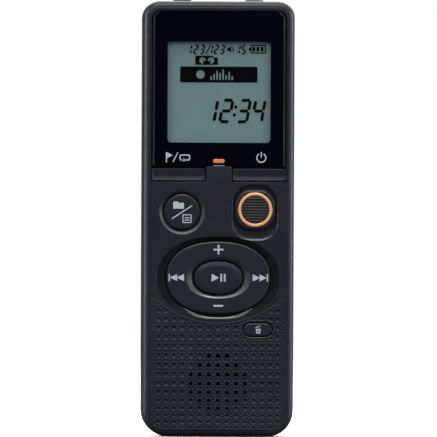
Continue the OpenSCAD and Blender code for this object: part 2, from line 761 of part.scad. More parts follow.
// A conical coil as one closed tube along a helix.
module spring(height) {
    steps = 14;
    sides = 6;
    rings = spring_turns * steps;
    points = [for (i = [0:rings]) let (t = i / rings, a = 360 * spring_turns * t,
            r = spring_base_r + (spring_tip_r - spring_base_r) * t,
            z = spring_wire_r + (height - 2 * spring_wire_r) * t)
        for (k = [0:sides - 1]) let (u = 360 * k / sides, reach = r + spring_wire_r * cos(u))
            [reach * cos(a), reach * sin(a), z + spring_wire_r * sin(u)]];
    walls = [for (i = [0:rings - 1]) for (k = [0:sides - 1]) let (n = (k + 1) % sides)
        [i * sides + k, i * sides + n, (i + 1) * sides + n, (i + 1) * sides + k]];
    ends = [[for (k = [0:sides - 1]) sides - 1 - k], [for (k = [0:sides - 1]) rings * sides + k]];
    polyhedron(points = points, faces = concat(walls, ends), convexity = 6);
}
spring_len = bay_z1 - bay_z0 - 2 * plate_t - cell_len - cell_gap - spring_gap - 0.13;
module battery_spring_left() {
    color([0.8, 0.8, 0.82]) translate([-cell_x, cell_y, bay_z0 + plate_t + spring_gap]) spring(spring_len);
}
module battery_spring_right() {
    color([0.8, 0.8, 0.82])
        translate([cell_x, cell_y, bay_z1 - plate_t - spring_gap]) mirror([0, 0, 1]) spring(spring_len);
}
module battery_terminals() {
    color([0.8, 0.8, 0.82]) for (side = [-1, 1])
        box(side * cell_x - plate_half_w, side * cell_x + plate_half_w,
            cell_y - plate_half_w, cell_y + plate_half_w, bay_z1 - plate_t - plate_gap, bay_z1 - plate_gap);
}
module battery_link() {
    reach = cell_x + plate_half_w;
    color([0.8, 0.8, 0.82])
        box(-reach, reach, cell_y - plate_half_w, cell_y + plate_half_w,
            bay_z0 + plate_gap, bay_z0 + plate_gap + plate_t);
}

// ---------- push keys ----------

module boot(x, z, r, y0 = y_flange + flange_t) { color([0.55, 0.55, 0.55]) at(x, z) rod(r, y0, boot_end); }

module bar_button(side) {
    at(side * bar_x, bar_z) difference() {
        union() {
            slab(y_front - key_proud, y_flange + lap) plate(bar_w, bar_h, bar_corner_r);
            translate([0, 0, bar_foot_z - bar_z]) slab(y_flange, y_flange + flange_t)
                plate(bar_w + 0.2, bar_h + 1.2, bar_corner_r);
        }
        // Finger scoop along the bar
        translate([0, y_front + scoop_depth - scoop_r, scoop_rise]) axle(scoop_r, bar_w / 2 - scoop_margin);
    }
}
module index_button() { color([0.14, 0.145, 0.16]) bar_button(-1); }
module power_button() { color([0.14, 0.145, 0.16]) bar_button(1); }
module index_boot() { boot(-bar_x, bar_foot_z, bar_boot_r); }
module power_boot() { boot(bar_x, bar_foot_z, bar_boot_r); }

module folder_button() {
    color([0.16, 0.165, 0.18]) at(-pair_x, folder_z) {
        rod(folder_r, y_front - key_proud, y_flange + lap);
        rod(folder_r + flange_w, y_flange, y_flange + flange_t);
    }
}
module folder_boot() { boot(-pair_x, folder_z, folder_boot_r); }

module erase_button() {
    color([0.14, 0.145, 0.16]) at(erase_x, erase_z) {
        slab(y_front - erase_proud, y_flange + lap) plate(erase_w, erase_h, erase_h / 2 - eps / 2);
        slab(y_flange, y_flange + flange_t)
            plate(erase_w + 2 * erase_flange_w, erase_h + 2 * erase_flange_w, erase_h / 2);
    }
}
module erase_boot() { boot(erase_x, erase_z, erase_boot_r); }

module play_button() {
    color([0.15, 0.155, 0.17]) at(0, nav_z) {
        slab(y_front - play_proud, y_inner + 0.3) oval(play_a, play_b);
        rod(play_boot_r, y_inner, y_play_foot);
    }
}
module play_boot() { boot(0, nav_z, play_boot_r, y_play_foot + eps); }

// ---------- four-way rocker ----------

module nav_ring() {
    color([0.13, 0.135, 0.15]) at(0, nav_z) {
        difference() {
            union() {
                slab(y_front - nav_proud, y_nav_foot - flange_t + lap) oval(nav_a, nav_b);
                slab(y_nav_foot - flange_t, y_nav_foot) oval(nav_a + nav_flange_w, nav_b + nav_flange_w);
            }
            slab(y_front - past, y_back) oval(play_a + play_gap, play_b + play_gap);
            // Sloping dish round the middle key
            hull() {
                slab(y_front - nav_proud - eps, y_front - nav_proud) oval(dish_a, dish_b);
                slab(y_front + dish_depth, y_front + dish_depth + eps)
                    oval(play_a + play_gap, play_b + play_gap);
            }
        }
        both_sides(switch_reach_x, 0) rod(nav_boot_r, y_nav_foot - lap, boot_end);
    }
}

module nav_rocker() {
    y_seat = y_nav_foot + 0.13;
    color([0.55, 0.55, 0.55]) at(0, nav_z) {
        difference() {
            slab(y_seat, y_seat + rocker_t) plate(rocker_w, rocker_h, 1);
            rod(play_boot_r + 0.6, y_front, y_back);
        }
        for (side = [-1, 1]) at(0, side * switch_reach_z) rod(nav_boot_r, y_seat + rocker_t / 2, boot_end);
    }
}

// ---------- record slider ----------

module record_knob() {
    color([0.16, 0.165, 0.17]) at(pair_x, knob_z) difference() {
        union() {
            slab(y_front - knob_proud + 0.15, y_front + slot_depth - 0.1) plate(knob_w, knob_w, knob_corner_r);
            slab(y_front + slot_depth / 2, y_carriage - eps) plate(neck_w, neck_h, 0.4);
        }
        rod(ring_out_r + eps, y_front - knob_proud - past, y_front - knob_seat);
    }
}
module record_ring() {
    color([0.95, 0.55, 0.25]) at(pair_x, knob_z) difference() {
        rod(ring_out_r, y_front - knob_proud + 0.05, y_front - knob_seat - eps);
        rod(ring_in_r + eps, y_front - knob_proud - past, y_front);
    }
}
module record_grip() {
    color([0.12, 0.12, 0.125]) at(pair_x, knob_z) intersection() {
        rod(ring_in_r, y_front - knob_proud, y_front - knob_seat - eps);
        union() {
            slab(y_front - 0.35, y_front - knob_seat - eps / 2) plate(2 * ring_out_r, 2 * ring_out_r, 1);
            for (i = [-4:4])
                box(-ring_out_r, ring_out_r, y_front - knob_proud - lap, y_front - 2 * knob_seat,
                    rib_pitch * i - rib_w / 2, rib_pitch * i + rib_w / 2);
        }
    }
}
module record_carriage() {
    color([0.5, 0.5, 0.5]) at(pair_x, knob_z)
        slab(y_carriage, y_carriage + carriage_t) plate(carriage_w, carriage_h, 0.5);
}
module record_switch_lever() {
    color([0.1, 0.1, 0.1])
        at(pair_x, knob_z) slab(y_carriage + carriage_t + eps, y_board - 0.4) plate(lever_w, lever_h, 0.2);
}

front_case();
rear_case();
battery_cover();
display_window();
window_mask();
indicator_lens();
indicator_led();
lcd_front_glass();
lcd_rear_glass();
lcd_reflector();
lcd_holder();
zebra_connector();
main_board();
processor_chip();
memory_chip();
board_components();
switch_domes();
record_switch_body();
keypad_membrane();
microphone_capsule();
microphone_boot();
mic_jack();
mic_jack_collar();
earphone_jack();
earphone_jack_collar();
usb_socket();
usb_tongue();
speaker_frame();
speaker_magnet();
speaker_cone();
speaker_gasket();
speaker_mesh();
speaker_contacts();
battery_left();
battery_right();
battery_spring_left();
battery_spring_right();
battery_terminals();
battery_link();
case_screws();
board_screws();
rear_label();
index_button();
index_boot();
power_button();
power_boot();
folder_button();
folder_boot();
record_knob();
record_ring();
record_grip();
record_carriage();
record_switch_lever();
hinge_pin();
nav_ring();
nav_rocker();
play_button();
play_boot();
erase_button();
erase_boot();
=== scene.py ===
"""Looks of the handheld voice recorder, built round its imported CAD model.

Lengths in this script are millimetres in the CAD's own frame, unless a comment says metres: x runs across the
face, y goes from the front to the back, and z goes up the body. Places come from the boxes of the CAD nodes.
"""
import math

import bmesh
import bpy
from mathutils import Matrix, Vector


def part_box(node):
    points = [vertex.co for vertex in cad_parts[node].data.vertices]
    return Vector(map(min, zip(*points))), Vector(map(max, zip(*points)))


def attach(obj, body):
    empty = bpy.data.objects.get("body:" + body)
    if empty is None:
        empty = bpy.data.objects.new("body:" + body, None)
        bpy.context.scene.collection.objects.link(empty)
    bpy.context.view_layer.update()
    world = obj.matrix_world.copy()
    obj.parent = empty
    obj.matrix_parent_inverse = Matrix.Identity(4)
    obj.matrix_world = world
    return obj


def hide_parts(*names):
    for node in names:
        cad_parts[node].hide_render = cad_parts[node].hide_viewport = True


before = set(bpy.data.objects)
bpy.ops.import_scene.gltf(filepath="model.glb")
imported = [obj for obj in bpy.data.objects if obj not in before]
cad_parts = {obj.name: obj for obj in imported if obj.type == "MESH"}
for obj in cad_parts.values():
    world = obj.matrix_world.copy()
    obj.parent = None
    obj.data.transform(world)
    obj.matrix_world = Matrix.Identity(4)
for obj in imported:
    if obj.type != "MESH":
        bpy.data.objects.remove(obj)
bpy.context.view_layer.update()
MM = 0.001


# ------------------------------------------------ places, from the CAD

def node_box(node):
    low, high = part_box(node)
    return low / MM, high / MM


def middle(node):
    low, high = node_box(node)
    return (low + high) / 2


case_low, case_high = node_box("front_case")
BODY_W = case_high.x - case_low.x
BODY_H = case_high.z - case_low.z
FACE = case_low.y                                   # the plane of the front face
BACK = node_box("rear_case")[1].y                   # the plane of the back
SPLIT = node_box("rear_case")[0].y                  # joint between the two shells
WALL = 1.4
INNER = FACE + WALL
SHOULDER_D = 2.4
PANEL_HALF_W, PANEL_LOW, PANEL_HIGH = 16.85, 1.6, 106.25     # the flat face inside the fine crease
BACK_ROUND_W, BACK_ROUND_D = 3.0, 3.2
TOP_R, BOTTOM_R = 4.1, 6.6

NAV = middle("nav_ring")
FOLDER = middle("folder_button")
KNOB = middle("record_knob")
ERASE = middle("erase_button")
BAR = middle("power_button")
LAMP = middle("indicator_lens")
VIEW_Z = 85.3                                       # middle of the visible display
SLOT_Z = KNOB.z - 0.6                               # middle of the slider's recess
WINDOW_BOTTOM = node_box("display_window")[0].z
WINDOW_TOP = node_box("display_window")[1].z
WINDOW_SEAT = FACE + 1.1
LCD_Y = node_box("lcd_front_glass")[0].y
MOAT_A, MOAT_B = 15.0, 10.15
NAV_A, NAV_B = 12.85, 8.95
OVAL_POWER = 2.25
KEY_FOOT = INNER + 0.5                              # how deep the keys reach
ERASE_W, ERASE_H, ERASE_R = 7.0, 3.1, 1.54
ERASE_GAP = 0.3                                     # how much wider its hole is
ISLAND_W = 0.75                                     # rim of the plain island round the erase key's hole
LCD_Z = 85.1                                        # middle of the whole display
WINDOW_W = 33.1
VIEW_W, VIEW_H = 25.5, 25.0                         # of the visible display
RECESS_W, RECESS_H, RECESS_R = 10.5, 13.0, 4.1      # of the slider's recess
KNOB_W, KNOB_R = 9.7, 3.7
GRIP_R, GRIP_PITCH = 3.4, 0.68
FOLDER_R = 4.35
PLAY_A, PLAY_B = 5.9, 3.95

# The lattice of dimples and speaker holes: its columns and rows close up away from its middle.
LATTICE_X, LATTICE_DX = 24.3, 5.33
LATTICE_Z, LATTICE_DZ = 21.4, 6.25
LATTICE_TOP = 20.0
HOLE_ROWS = (1, 2, 3, 3, 3, 2, 1)
TEXTURE_HALF_W = 16.35
TEXTURE_BOTTOM = 1.95
TEXTURE_CORNER = 2.8
ARC_R, ARC_CENTRE_Z = 24.0, 52.1
ARC_LOW = 27.5                                      # everything of the zone's outline above this is the arc


# ------------------------------------------------ outlines: functions from inset to (x, z) points

def filleted(corners):
    """Straight sides with rounded corners, from (x, z, radius) corners listed anticlockwise."""
    def outline(inset=0.0):
        points = []
        count = len(corners)
        for i in range(count):
            a, b, c = (Vector(corners[k % count][:2]) for k in (i - 1, i, i + 1))
            u, v = (b - a).normalized(), (c - b).normalized()
            turn = math.atan2(u.x * v.y - u.y * v.x, u.dot(v))
            side = 1 if turn > 0 else -1
            nu, nv = Vector((-u.y, u.x)), Vector((-v.y, v.x))
            corner = b + (nu + nv) * (inset / (1 + nu.dot(nv)))
            r = max(corners[i][2] - side * inset, 0.01)
            start = corner - u * r * math.tan(abs(turn) / 2)
            hub = start + nu * side * r
            steps = max(1, round(abs(math.degrees(turn)) / 11))
            for k in range(steps + 1):
                points.append(hub + Matrix.Rotation(turn * k / steps, 2) @ (start - hub))
        return [(p.x, p.y) for p in points]
    return outline


def rounded(cx, cz, w, h, r, bottom_r=None):
    """A rounded rectangle about its centre."""
    low_r = r if bottom_r is None else bottom_r
    x0, x1, z0, z1 = cx - w / 2, cx + w / 2, cz - h / 2, cz + h / 2
    return filleted([(x0, z0, low_r), (x1, z0, low_r), (x1, z1, r), (x0, z1, r)])


def oval_points(cx, cz, a, b, power=OVAL_POWER, steps=96):
    points = []
    for i in range(steps):
        c, s = math.cos(math.tau * i / steps), math.sin(math.tau * i / steps)
        points.append((cx + a * math.copysign(abs(c) ** (2 / power), c),
                       cz + b * math.copysign(abs(s) ** (2 / power), s)))
    return points


def round_outline(cx, cz, r, steps=64):
    return lambda inset=0.0: oval_points(cx, cz, r - inset, r - inset, 2.0, steps)


body_outline = rounded(0, BODY_H / 2, BODY_W, BODY_H, TOP_R, BOTTOM_R)
PANEL_H = PANEL_HIGH - PANEL_LOW
panel_outline = rounded(0, PANEL_LOW + PANEL_H / 2, 2 * PANEL_HALF_W, PANEL_H, 2.6, 3.0)


def blend(a, b, share):
    """Points part of the way from one outline to another with as many points."""
    return [(p[0] + (q[0] - p[0]) * share, p[1] + (q[1] - p[1]) * share) for p, q in zip(a, b)]


# ------------------------------------------------ mesh building

def ring(bm, points, y):
    """Vertices at (x, z) points of the plane y."""
    return [bm.verts.new((x * MM, y * MM, z * MM)) for x, z in points]


def ring_at(bm, points):
    """Vertices at (x, y, z) points."""
    return [bm.verts.new((x * MM, y * MM, z * MM)) for x, y, z in points]


def bridge(bm, a, b):
    count = len(a)
    for i in range(count):
        j = (i + 1) % count
        bm.faces.new((a[i], a[j], b[j], b[i])).smooth = True


def join(bm, rings, is_closed=False):
    """Bridges rings in turn, and the last to the first where they close on themselves. Returns both ends."""
    for a, b in zip(rings, rings[1:] + rings[:is_closed]):
        bridge(bm, a, b)
    return rings[0], rings[-1]


def capped(bm, rings):
    """Joins rings in turn and closes both ends with one face each."""
    for loop in join(bm, rings):
        bm.faces.new(loop)


def loft(bm, outline, profile):
    """Rings of one outline at (inset, y) stations, joined in turn."""
    return join(bm, [ring(bm, outline(inset), y) for inset, y in profile])


def loft_ovals(bm, cx, cz, profile):
    """Rings of ovals at (half width, half height, y) stations, joined in turn."""
    return join(bm, [ring(bm, oval_points(cx, cz, a, b), y) for a, b, y in profile])


def fill(bm, *loops):
    """Flat faces between an outer loop and the loops inside it."""
    edges = []
    for loop in loops:
        for i, vert in enumerate(loop):
            other = loop[(i + 1) % len(loop)]
            edges.append(bm.edges.get((vert, other)) or bm.edges.new((vert, other)))
    bmesh.ops.triangle_fill(bm, use_beauty=True, use_dissolve=False, edges=edges)


def solid(bm, outline, profile):
    """A loft with both ends filled."""
    for loop in loft(bm, outline, profile):
        fill(bm, loop)


def paint(bm, known, index=1):
    """Gives every face that isn't one of the known ones another of the piece's materials."""
    for face in set(bm.faces) - known:
        face.material_index = index


def quarter(steps):
    """Angles from 0 to a quarter turn."""
    return [math.pi / 2 * k / steps for k in range(steps + 1)]


def lip(radius, y=FACE):
    """Stations that round the edge of a hole in the plane y, from its wider mouth to its wall."""
    return [(-radius * (1 - math.sin(t)), y + radius * (1 - math.cos(t))) for t in quarter(4)]


def crown(radius, top, depth=None, steps=4):
    """Stations that round the top edge of a raised piece, from its wall to its flat top at y = top."""
    depth = radius if depth is None else depth
    return [(radius * (1 - math.cos(t)), top + depth * (1 - math.sin(t))) for t in quarter(steps)]


def turned(stations):
    """Stations of the plane y = BACK turned over, to face the back."""
    return [(inset, 2 * BACK - y) for inset, y in stations]


def place(name, data):
    """A new object of the scene."""
    made = bpy.data.objects.new(name, data)
    bpy.context.scene.collection.objects.link(made)
    return made


def finish_mesh(name, bm, material, body, replaced=(), angle=38):
    """Turns a bmesh into a smooth-shaded piece of one or more materials that rides on a body."""
    bmesh.ops.recalc_face_normals(bm, faces=bm.faces)
    mesh = bpy.data.meshes.new(name)
    bm.to_mesh(mesh)
    bm.free()
    for one in material if isinstance(material, list) else [material]:
        mesh.materials.append(one)
    mesh.set_sharp_from_angle(angle=math.radians(angle))
    piece = place(name, mesh)
    weighted = piece.modifiers.new("weighted_normals", "WEIGHTED_NORMAL")
    weighted.keep_sharp = True
    weighted.weight = 60
    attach(piece, body)
    if replaced:
        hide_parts(*replaced)


def boolean(bm, cutter, operation):
    """The result of a boolean between two bmeshes, as a new bmesh."""
    objects = []
    for one in (bm, cutter):
        bmesh.ops.recalc_face_normals(one, faces=one.faces)
        mesh = bpy.data.meshes.new("scratch")
        one.to_mesh(mesh)
        one.free()
        objects.append(place("scratch", mesh))
    modifier = objects[0].modifiers.new("cut", "BOOLEAN")
    modifier.operation = operation
    modifier.solver = "EXACT"
    modifier.object = objects[1]
    graph = bpy.context.evaluated_depsgraph_get()
    result = bmesh.new()
    result.from_mesh(objects[0].evaluated_get(graph).to_mesh())
    for scratch in objects:
        mesh = scratch.data
        bpy.data.objects.remove(scratch)
        bpy.data.meshes.remove(mesh)
    return result


def add_cylinder(bm, centre, axis, radius, length, steps):
    """A closed cylinder about its centre."""
    turn = Vector((0, 0, 1)).rotation_difference(Vector(axis)).to_matrix().to_4x4()
    made = bmesh.ops.create_cone(bm, cap_ends=True, segments=steps, radius1=radius * MM, radius2=radius * MM,
                                 depth=length * MM, matrix=Matrix.Translation(Vector(centre) * MM) @ turn)
    for face in {face for vert in made["verts"] for face in vert.link_faces}:
        face.smooth = len(face.verts) == 4


# ------------------------------------------------ materials

def add_node(tree, kind, **values):
    """A shader node with some of its inputs set; underscores stand for the spaces in their names."""
    made = tree.nodes.new("ShaderNode" + kind)
    for name, value in values.items():
        made.inputs[name.replace("_", " ")].default_value = value
    return made


def shader(name, colour, roughness, metallic=0.0, coat=0.0, specular=0.5):
    """A material with its Principled shader, ready for its own nodes."""
    material = bpy.data.materials.new(name)
    material.use_nodes = True
    principled = material.node_tree.nodes["Principled BSDF"]
    for socket, value in (("Base Color", (*colour, 1)), ("Roughness", roughness), ("Metallic", metallic),
                          ("Coat Weight", coat), ("Specular IOR Level", specular)):
        principled.inputs[socket].default_value = value
    return material, material.node_tree, principled


def noise(tree, scale, detail, kind="Noise", stretch=(1, 1, 1)):
    """The value of a noise over the object's own coordinates; scale is in features per metre."""
    mapping = add_node(tree, "Mapping", Scale=stretch)
    texture = add_node(tree, "Tex" + kind, Scale=scale, Detail=detail)
    tree.links.new(add_node(tree, "TexCoord").outputs["Object"], mapping.inputs["Vector"])
    tree.links.new(mapping.outputs["Vector"], texture.inputs["Vector"])
    return texture.outputs["Fac" if kind == "Noise" else "Distance"]


def remapped(tree, source, low, high, from_low=0.3, from_high=0.7):
    """A value mapped from one range to another. The first defaults to where most of a noise lies."""
    remap = add_node(tree, "MapRange", From_Min=from_low, From_Max=from_high, To_Min=low, To_Max=high)
    tree.links.new(source, remap.inputs["Value"])
    return remap.outputs["Result"]


def roughen(tree, node, source, low, high):
    """Lets a noise vary a shader's roughness between two values."""
    tree.links.new(remapped(tree, source, low, high), node.inputs["Roughness"])


def tint(tree, principled, source, dark, light):
    """Lets a noise vary the base colour between two colours. Returns that colour."""
    ramp = add_node(tree, "ValToRGB")
    for element, position, colour in zip(ramp.color_ramp.elements, (0.32, 0.68), (dark, light)):
        element.position = position
        element.color = (*colour, 1)
    tree.links.new(source, ramp.inputs["Fac"])
    tree.links.new(ramp.outputs["Color"], principled.inputs["Base Color"])
    return ramp.outputs["Color"]


def mix_tints(tree, principled, factor, a, b):
    """Sets the base colour to a mix of two colours, each a socket or a value."""
    mix = add_node(tree, "Mix")
    mix.data_type = "RGBA"
    tree.links.new(factor, mix.inputs["Factor"])
    for name, source in (("A", a), ("B", b)):
        if isinstance(source, tuple):
            mix.inputs[name].default_value = (*source, 1)
        else:
            tree.links.new(source, mix.inputs[name])
    tree.links.new(mix.outputs["Result"], principled.inputs["Base Color"])


def bump(tree, principled, source, depth):
    """Bump from a noise; depth is in millimetres."""
    relief = add_node(tree, "Bump", Strength=1.0, Distance=depth * MM)
    tree.links.new(source, relief.inputs["Height"])
    tree.links.new(relief.outputs["Normal"], principled.inputs["Normal"])


def scaled(colour, factor):
    return tuple(min(c * factor, 1.0) for c in colour)


def surface(name, colour, roughness, grain, tones, depth, relief=None, sheen=None, **look):
    """A material whose colour follows a noise.

    grain holds the arguments of the noise behind the colour, and relief those of the one behind the bump
    where that is another. tones are shares of the colour, sheen is shares of the roughness, and depth is the
    bump's.
    """
    material, tree, principled = shader(name, colour, roughness, **look)
    source = noise(tree, *grain)
    tint(tree, principled, source, *(scaled(colour, tone) for tone in tones))
    if sheen:
        roughen(tree, principled, source, *(roughness * share for share in sheen))
    bump(tree, principled, noise(tree, *relief) if relief else source, depth)
    return material


def moulded(name, colour, roughness, grain=5200, grain_depth=0.006, wear=0.0, specular=0.5):
    """Moulded plastic: spark-eroded grain, faint clouding, and edges rubbed paler."""
    material, tree, principled = shader(name, colour, roughness, specular=specular)
    clouds = tint(tree, principled, noise(tree, 90, 4), scaled(colour, 0.88), scaled(colour, 1.14))
    grains = noise(tree, grain, 2)
    roughen(tree, principled, grains, roughness * 0.88, roughness * 1.1)
    bump(tree, principled, grains, grain_depth)
    if wear:
        edges = remapped(tree, add_node(tree, "NewGeometry").outputs["Pointiness"], 0, wear, 0.52, 0.66)
        mix_tints(tree, principled, edges, clouds, scaled(colour, 3.0))
    return material


def metal(name, colour, roughness, brushed=(1, 1, 1)):
    """Plated or brushed metal, with streaks along the long way of the stretch."""
    return surface(name, colour, roughness, (900, 5, "Noise", brushed), (0.8, 1.08), 0.002, sheen=(0.7, 1.4),
                   metallic=1.0)


def gloss(name, colour, roughness, specular):
    """Polished plastic with the slightest waviness and fine handling marks in its gloss."""
    return surface(name, colour, roughness, (140, 6), (0.9, 1.1), 0.001, relief=(60, 1), sheen=(0.7, 1.8),
                   specular=specular)


def ink(name, colour, roughness=0.5, specular=0.5):
    """Pad-printed ink, thin enough to vary a little."""
    return surface(name, colour, roughness, (2600, 3), (0.86, 1.06), 0.003, specular=specular)


def rubber(name, colour):
    """Silicone rubber with some dust on it."""
    return surface(name, colour, 0.7, (700, 6), (0.85, 1.2), 0.01, relief=(4000, 3), specular=0.35)


def cloth(name, colour, scale):
    """Woven cloth or fibrous paper."""
    return surface(name, colour, 0.95, (scale, 2, "Voronoi"), (0.5, 1.5), 0.03, specular=0.1)


def board_material():
    """Green solder mask with faint traces under it."""
    material, tree, principled = shader("solder_mask", (0.02, 0.11, 0.05), 0.3)
    traces = noise(tree, 600, 0, "Voronoi")
    tint(tree, principled, traces, (0.014, 0.085, 0.04), (0.03, 0.15, 0.07))
    bump(tree, principled, traces, 0.02)
    return material


def cell_material(name, low_z, high_z):
    """A printed cell jacket: a green body, a brass band and a black end towards high_z, in metres."""
    material, tree, principled = shader(name, (0.03, 0.14, 0.07), 0.28, metallic=0.4)
    split, ramp = add_node(tree, "SeparateXYZ"), add_node(tree, "ValToRGB")
    ramp.color_ramp.interpolation = "CONSTANT"
    ramp.color_ramp.elements[0].color = (0.025, 0.12, 0.06, 1)
    ramp.color_ramp.elements.new(0.62).color = (0.55, 0.36, 0.12, 1)
    ramp.color_ramp.elements[-1].position = 0.74
    ramp.color_ramp.elements[-1].color = (0.012, 0.014, 0.013, 1)
    tree.links.new(add_node(tree, "TexCoord").outputs["Object"], split.inputs["Vector"])
    tree.links.new(remapped(tree, split.outputs["Z"], 0, 1, low_z, high_z), ramp.inputs["Fac"])
    tree.links.new(ramp.outputs["Color"], principled.inputs["Base Color"])
    bump(tree, principled, noise(tree, 400, 4), 0.01)
    return material


def display_material():
    """The grey-green ground of a reflective liquid crystal display."""
    material, tree, principled = shader("display_ground", (0.135, 0.212, 0.21), 0.5, specular=0.15)
    tint(tree, principled, noise(tree, 30, 3), (0.114, 0.178, 0.176), (0.127, 0.2, 0.198))
    bump(tree, principled, noise(tree, 3500, 2), 0.002)
    return material


def clear_material():
    """The clear part of the window: nothing but a faint, slightly wavy gloss over what lies behind."""
    material, tree, principled = shader("window_clear", (0.9, 0.93, 0.92), 0.04)
    tree.nodes.remove(principled)
    clear = add_node(tree, "BsdfTransparent", Color=(0.97, 0.98, 0.98, 1))
    sheen, mix = add_node(tree, "BsdfGlossy"), add_node(tree, "MixShader")
    facing = add_node(tree, "LayerWeight", Blend=0.3)
    roughen(tree, sheen, noise(tree, 140, 6), 0.03, 0.07)
    tree.links.new(remapped(tree, facing.outputs["Fresnel"], 0, 0.1, 0, 1), mix.inputs["Fac"])
    for k, source in enumerate((clear, sheen), 1):
        tree.links.new(source.outputs["BSDF"], mix.inputs[k])
    tree.links.new(mix.outputs["Shader"], tree.nodes["Material Output"].inputs["Surface"])
    return material


def lamp_material():
    """Frosted orange lens over an unlit lamp."""
    material, tree, principled = shader("lamp_lens", (0.61, 0.17, 0.06), 0.3, coat=0.4)
    tint(tree, principled, noise(tree, 900, 2), (0.5, 0.13, 0.045), (0.68, 0.21, 0.08))
    return material


CHARCOAL = (0.0085, 0.0100, 0.0150)
case_plastic = moulded("case_plastic", CHARCOAL, 0.42, wear=0.2, specular=0.22)
rear_plastic = moulded("rear_plastic", scaled(CHARCOAL, 0.95), 0.46, 4200, 0.009, 0.2, 0.3)
key_plastic = moulded("key_plastic", scaled(CHARCOAL, 1.12), 0.38, 7000, 0.004, 0.2, 0.26)
texture_plastic = moulded("texture_plastic", scaled(CHARCOAL, 1.1), 0.5, 6000, 0.004, specular=0.17)
polished_plastic = gloss("polished_plastic", scaled(CHARCOAL, 0.4), 0.17, 0.6)
rim_plastic = gloss("rim_plastic", scaled(CHARCOAL, 0.9), 0.27, 0.6)
# A flat, nearly black finish that is painted on the walls and floors of deep recesses as painted shade.
painted_shade_black = gloss("painted_shade_black", scaled(CHARCOAL, 0.25), 0.5, 0.12)
window_edge = gloss("window_edge", scaled(CHARCOAL, 0.5), 0.4, 0.22)
grip_plastic = moulded("grip_plastic", (0.013, 0.013, 0.016), 0.65, 6000, 0.004, specular=0.35)
inner_plastic = moulded("inner_plastic", (0.016, 0.017, 0.02), 0.6)
white_plastic = moulded("white_plastic", (0.62, 0.61, 0.57), 0.45)
chip_plastic = moulded("chip_plastic", (0.012, 0.012, 0.013), 0.5, 3000)
mic_collar_plastic = moulded("mic_collar_plastic", (0.011, 0.012, 0.016), 0.6, specular=0.1)
ear_collar_plastic = moulded("ear_collar_plastic", (0.003, 0.003, 0.0045), 0.6, specular=0.08)
window_black = gloss("window_black", (0.0006, 0.0009, 0.0028), 0.06, 0.15)
print_ink = ink("print_ink", (0.37, 0.39, 0.43))
segment_ink = ink("segment_ink", (0.0008, 0.0012, 0.0014), 0.7, 0.03)
label_film = ink("label_film", (0.05, 0.051, 0.056), 0.35)
nickel = metal("nickel", (0.66, 0.65, 0.62), 0.25)
dull_nickel = metal("dull_nickel", (0.11, 0.11, 0.115), 0.5)
steel = metal("steel", (0.5, 0.5, 0.51), 0.35, brushed=(1, 8, 1))
gold = metal("gold", (0.82, 0.6, 0.28), 0.25)
copper_ring = surface("copper_ring", (0.80, 0.40, 0.17), 0.34, (9000, 2), (0.9, 1.05), 0.001, metallic=0.35)
grey_rubber = rubber("grey_rubber", (0.28, 0.28, 0.28))
black_rubber = rubber("black_rubber", (0.02, 0.02, 0.02))
solder_mask = board_material()
cone_paper = cloth("cone_paper", (0.05, 0.045, 0.04), 5000)
speaker_cloth = cloth("speaker_cloth", (0.006, 0.006, 0.006), 9000)
cell_jacket_up = cell_material("cell_jacket_up", 0.008, 0.058)
cell_jacket_down = cell_material("cell_jacket_down", 0.058, 0.008)
display_ground = display_material()
window_clear = clear_material()
lamp_lens = lamp_material()


# ------------------------------------------------ front shell

PANEL = FACE + 0.015
PANEL_BACK = FACE + 1.2
CREASE = 0.04
SHELL_FINISHES = [case_plastic, polished_plastic, rim_plastic, painted_shade_black]
# The last of these places is the nearly black finish painted into recesses as shade.
POLISHED, RIM, PAINTED_SHADE = 1, 2, 3               # places in that list
RECESS = ((-0.52, 0), (-0.46, 0.03), (-0.12, 0.29), (-0.03, 0.4),    # inset and depth of the slider's recess
          (0, 0.55), (0, 0.85), (0.05, 0.95), (0.15, 1))
FOLDER_DISH_R = 4.58
SLOT = rounded(KNOB.x, KNOB.z - 1.05, 4.3, 7.0, 0.5)
BAR_HOLE_W, BAR_HOLE_H = 13.38, 3.3


def erase_outline(grow):
    """The erase key's outline, made wider and higher by a length."""
    return rounded(ERASE.x, ERASE.z, ERASE_W + grow, ERASE_H + grow, ERASE_R + grow / 2)


def texture_outline():
    """The dimpled zone: straight sides, rounded lower corners and an arc under the rocker."""
    w, z0 = TEXTURE_HALF_W, TEXTURE_BOTTOM
    corners = [(-w, z0, TEXTURE_CORNER), (w, z0, TEXTURE_CORNER)]
    reach = math.degrees(math.asin(w / ARC_R))
    steps = 12
    for k in range(steps + 1):
        a = math.radians(reach - 2 * reach * k / steps)
        radius = 0.3 if k in (0, steps) else 0.01
        corners.append((ARC_R * math.sin(a), ARC_CENTRE_Z - ARC_R * math.cos(a), radius))
    return filleted(corners)


def window_and_bars_outline():
    """The window's seat together with the slots of the two bar keys under it."""
    half, tab = 16.8, 3.2
    bottom, ledge, top = BAR.z - 1.85, WINDOW_BOTTOM - 0.1, WINDOW_TOP + 0.12
    return filleted([(-half, bottom, 0.35), (-tab, bottom, 0.3), (-tab, ledge, 0.15), (tab, ledge, 0.15),
                     (tab, bottom, 0.3), (half, bottom, 0.35), (half, top, 2.3), (-half, top, 2.3)])


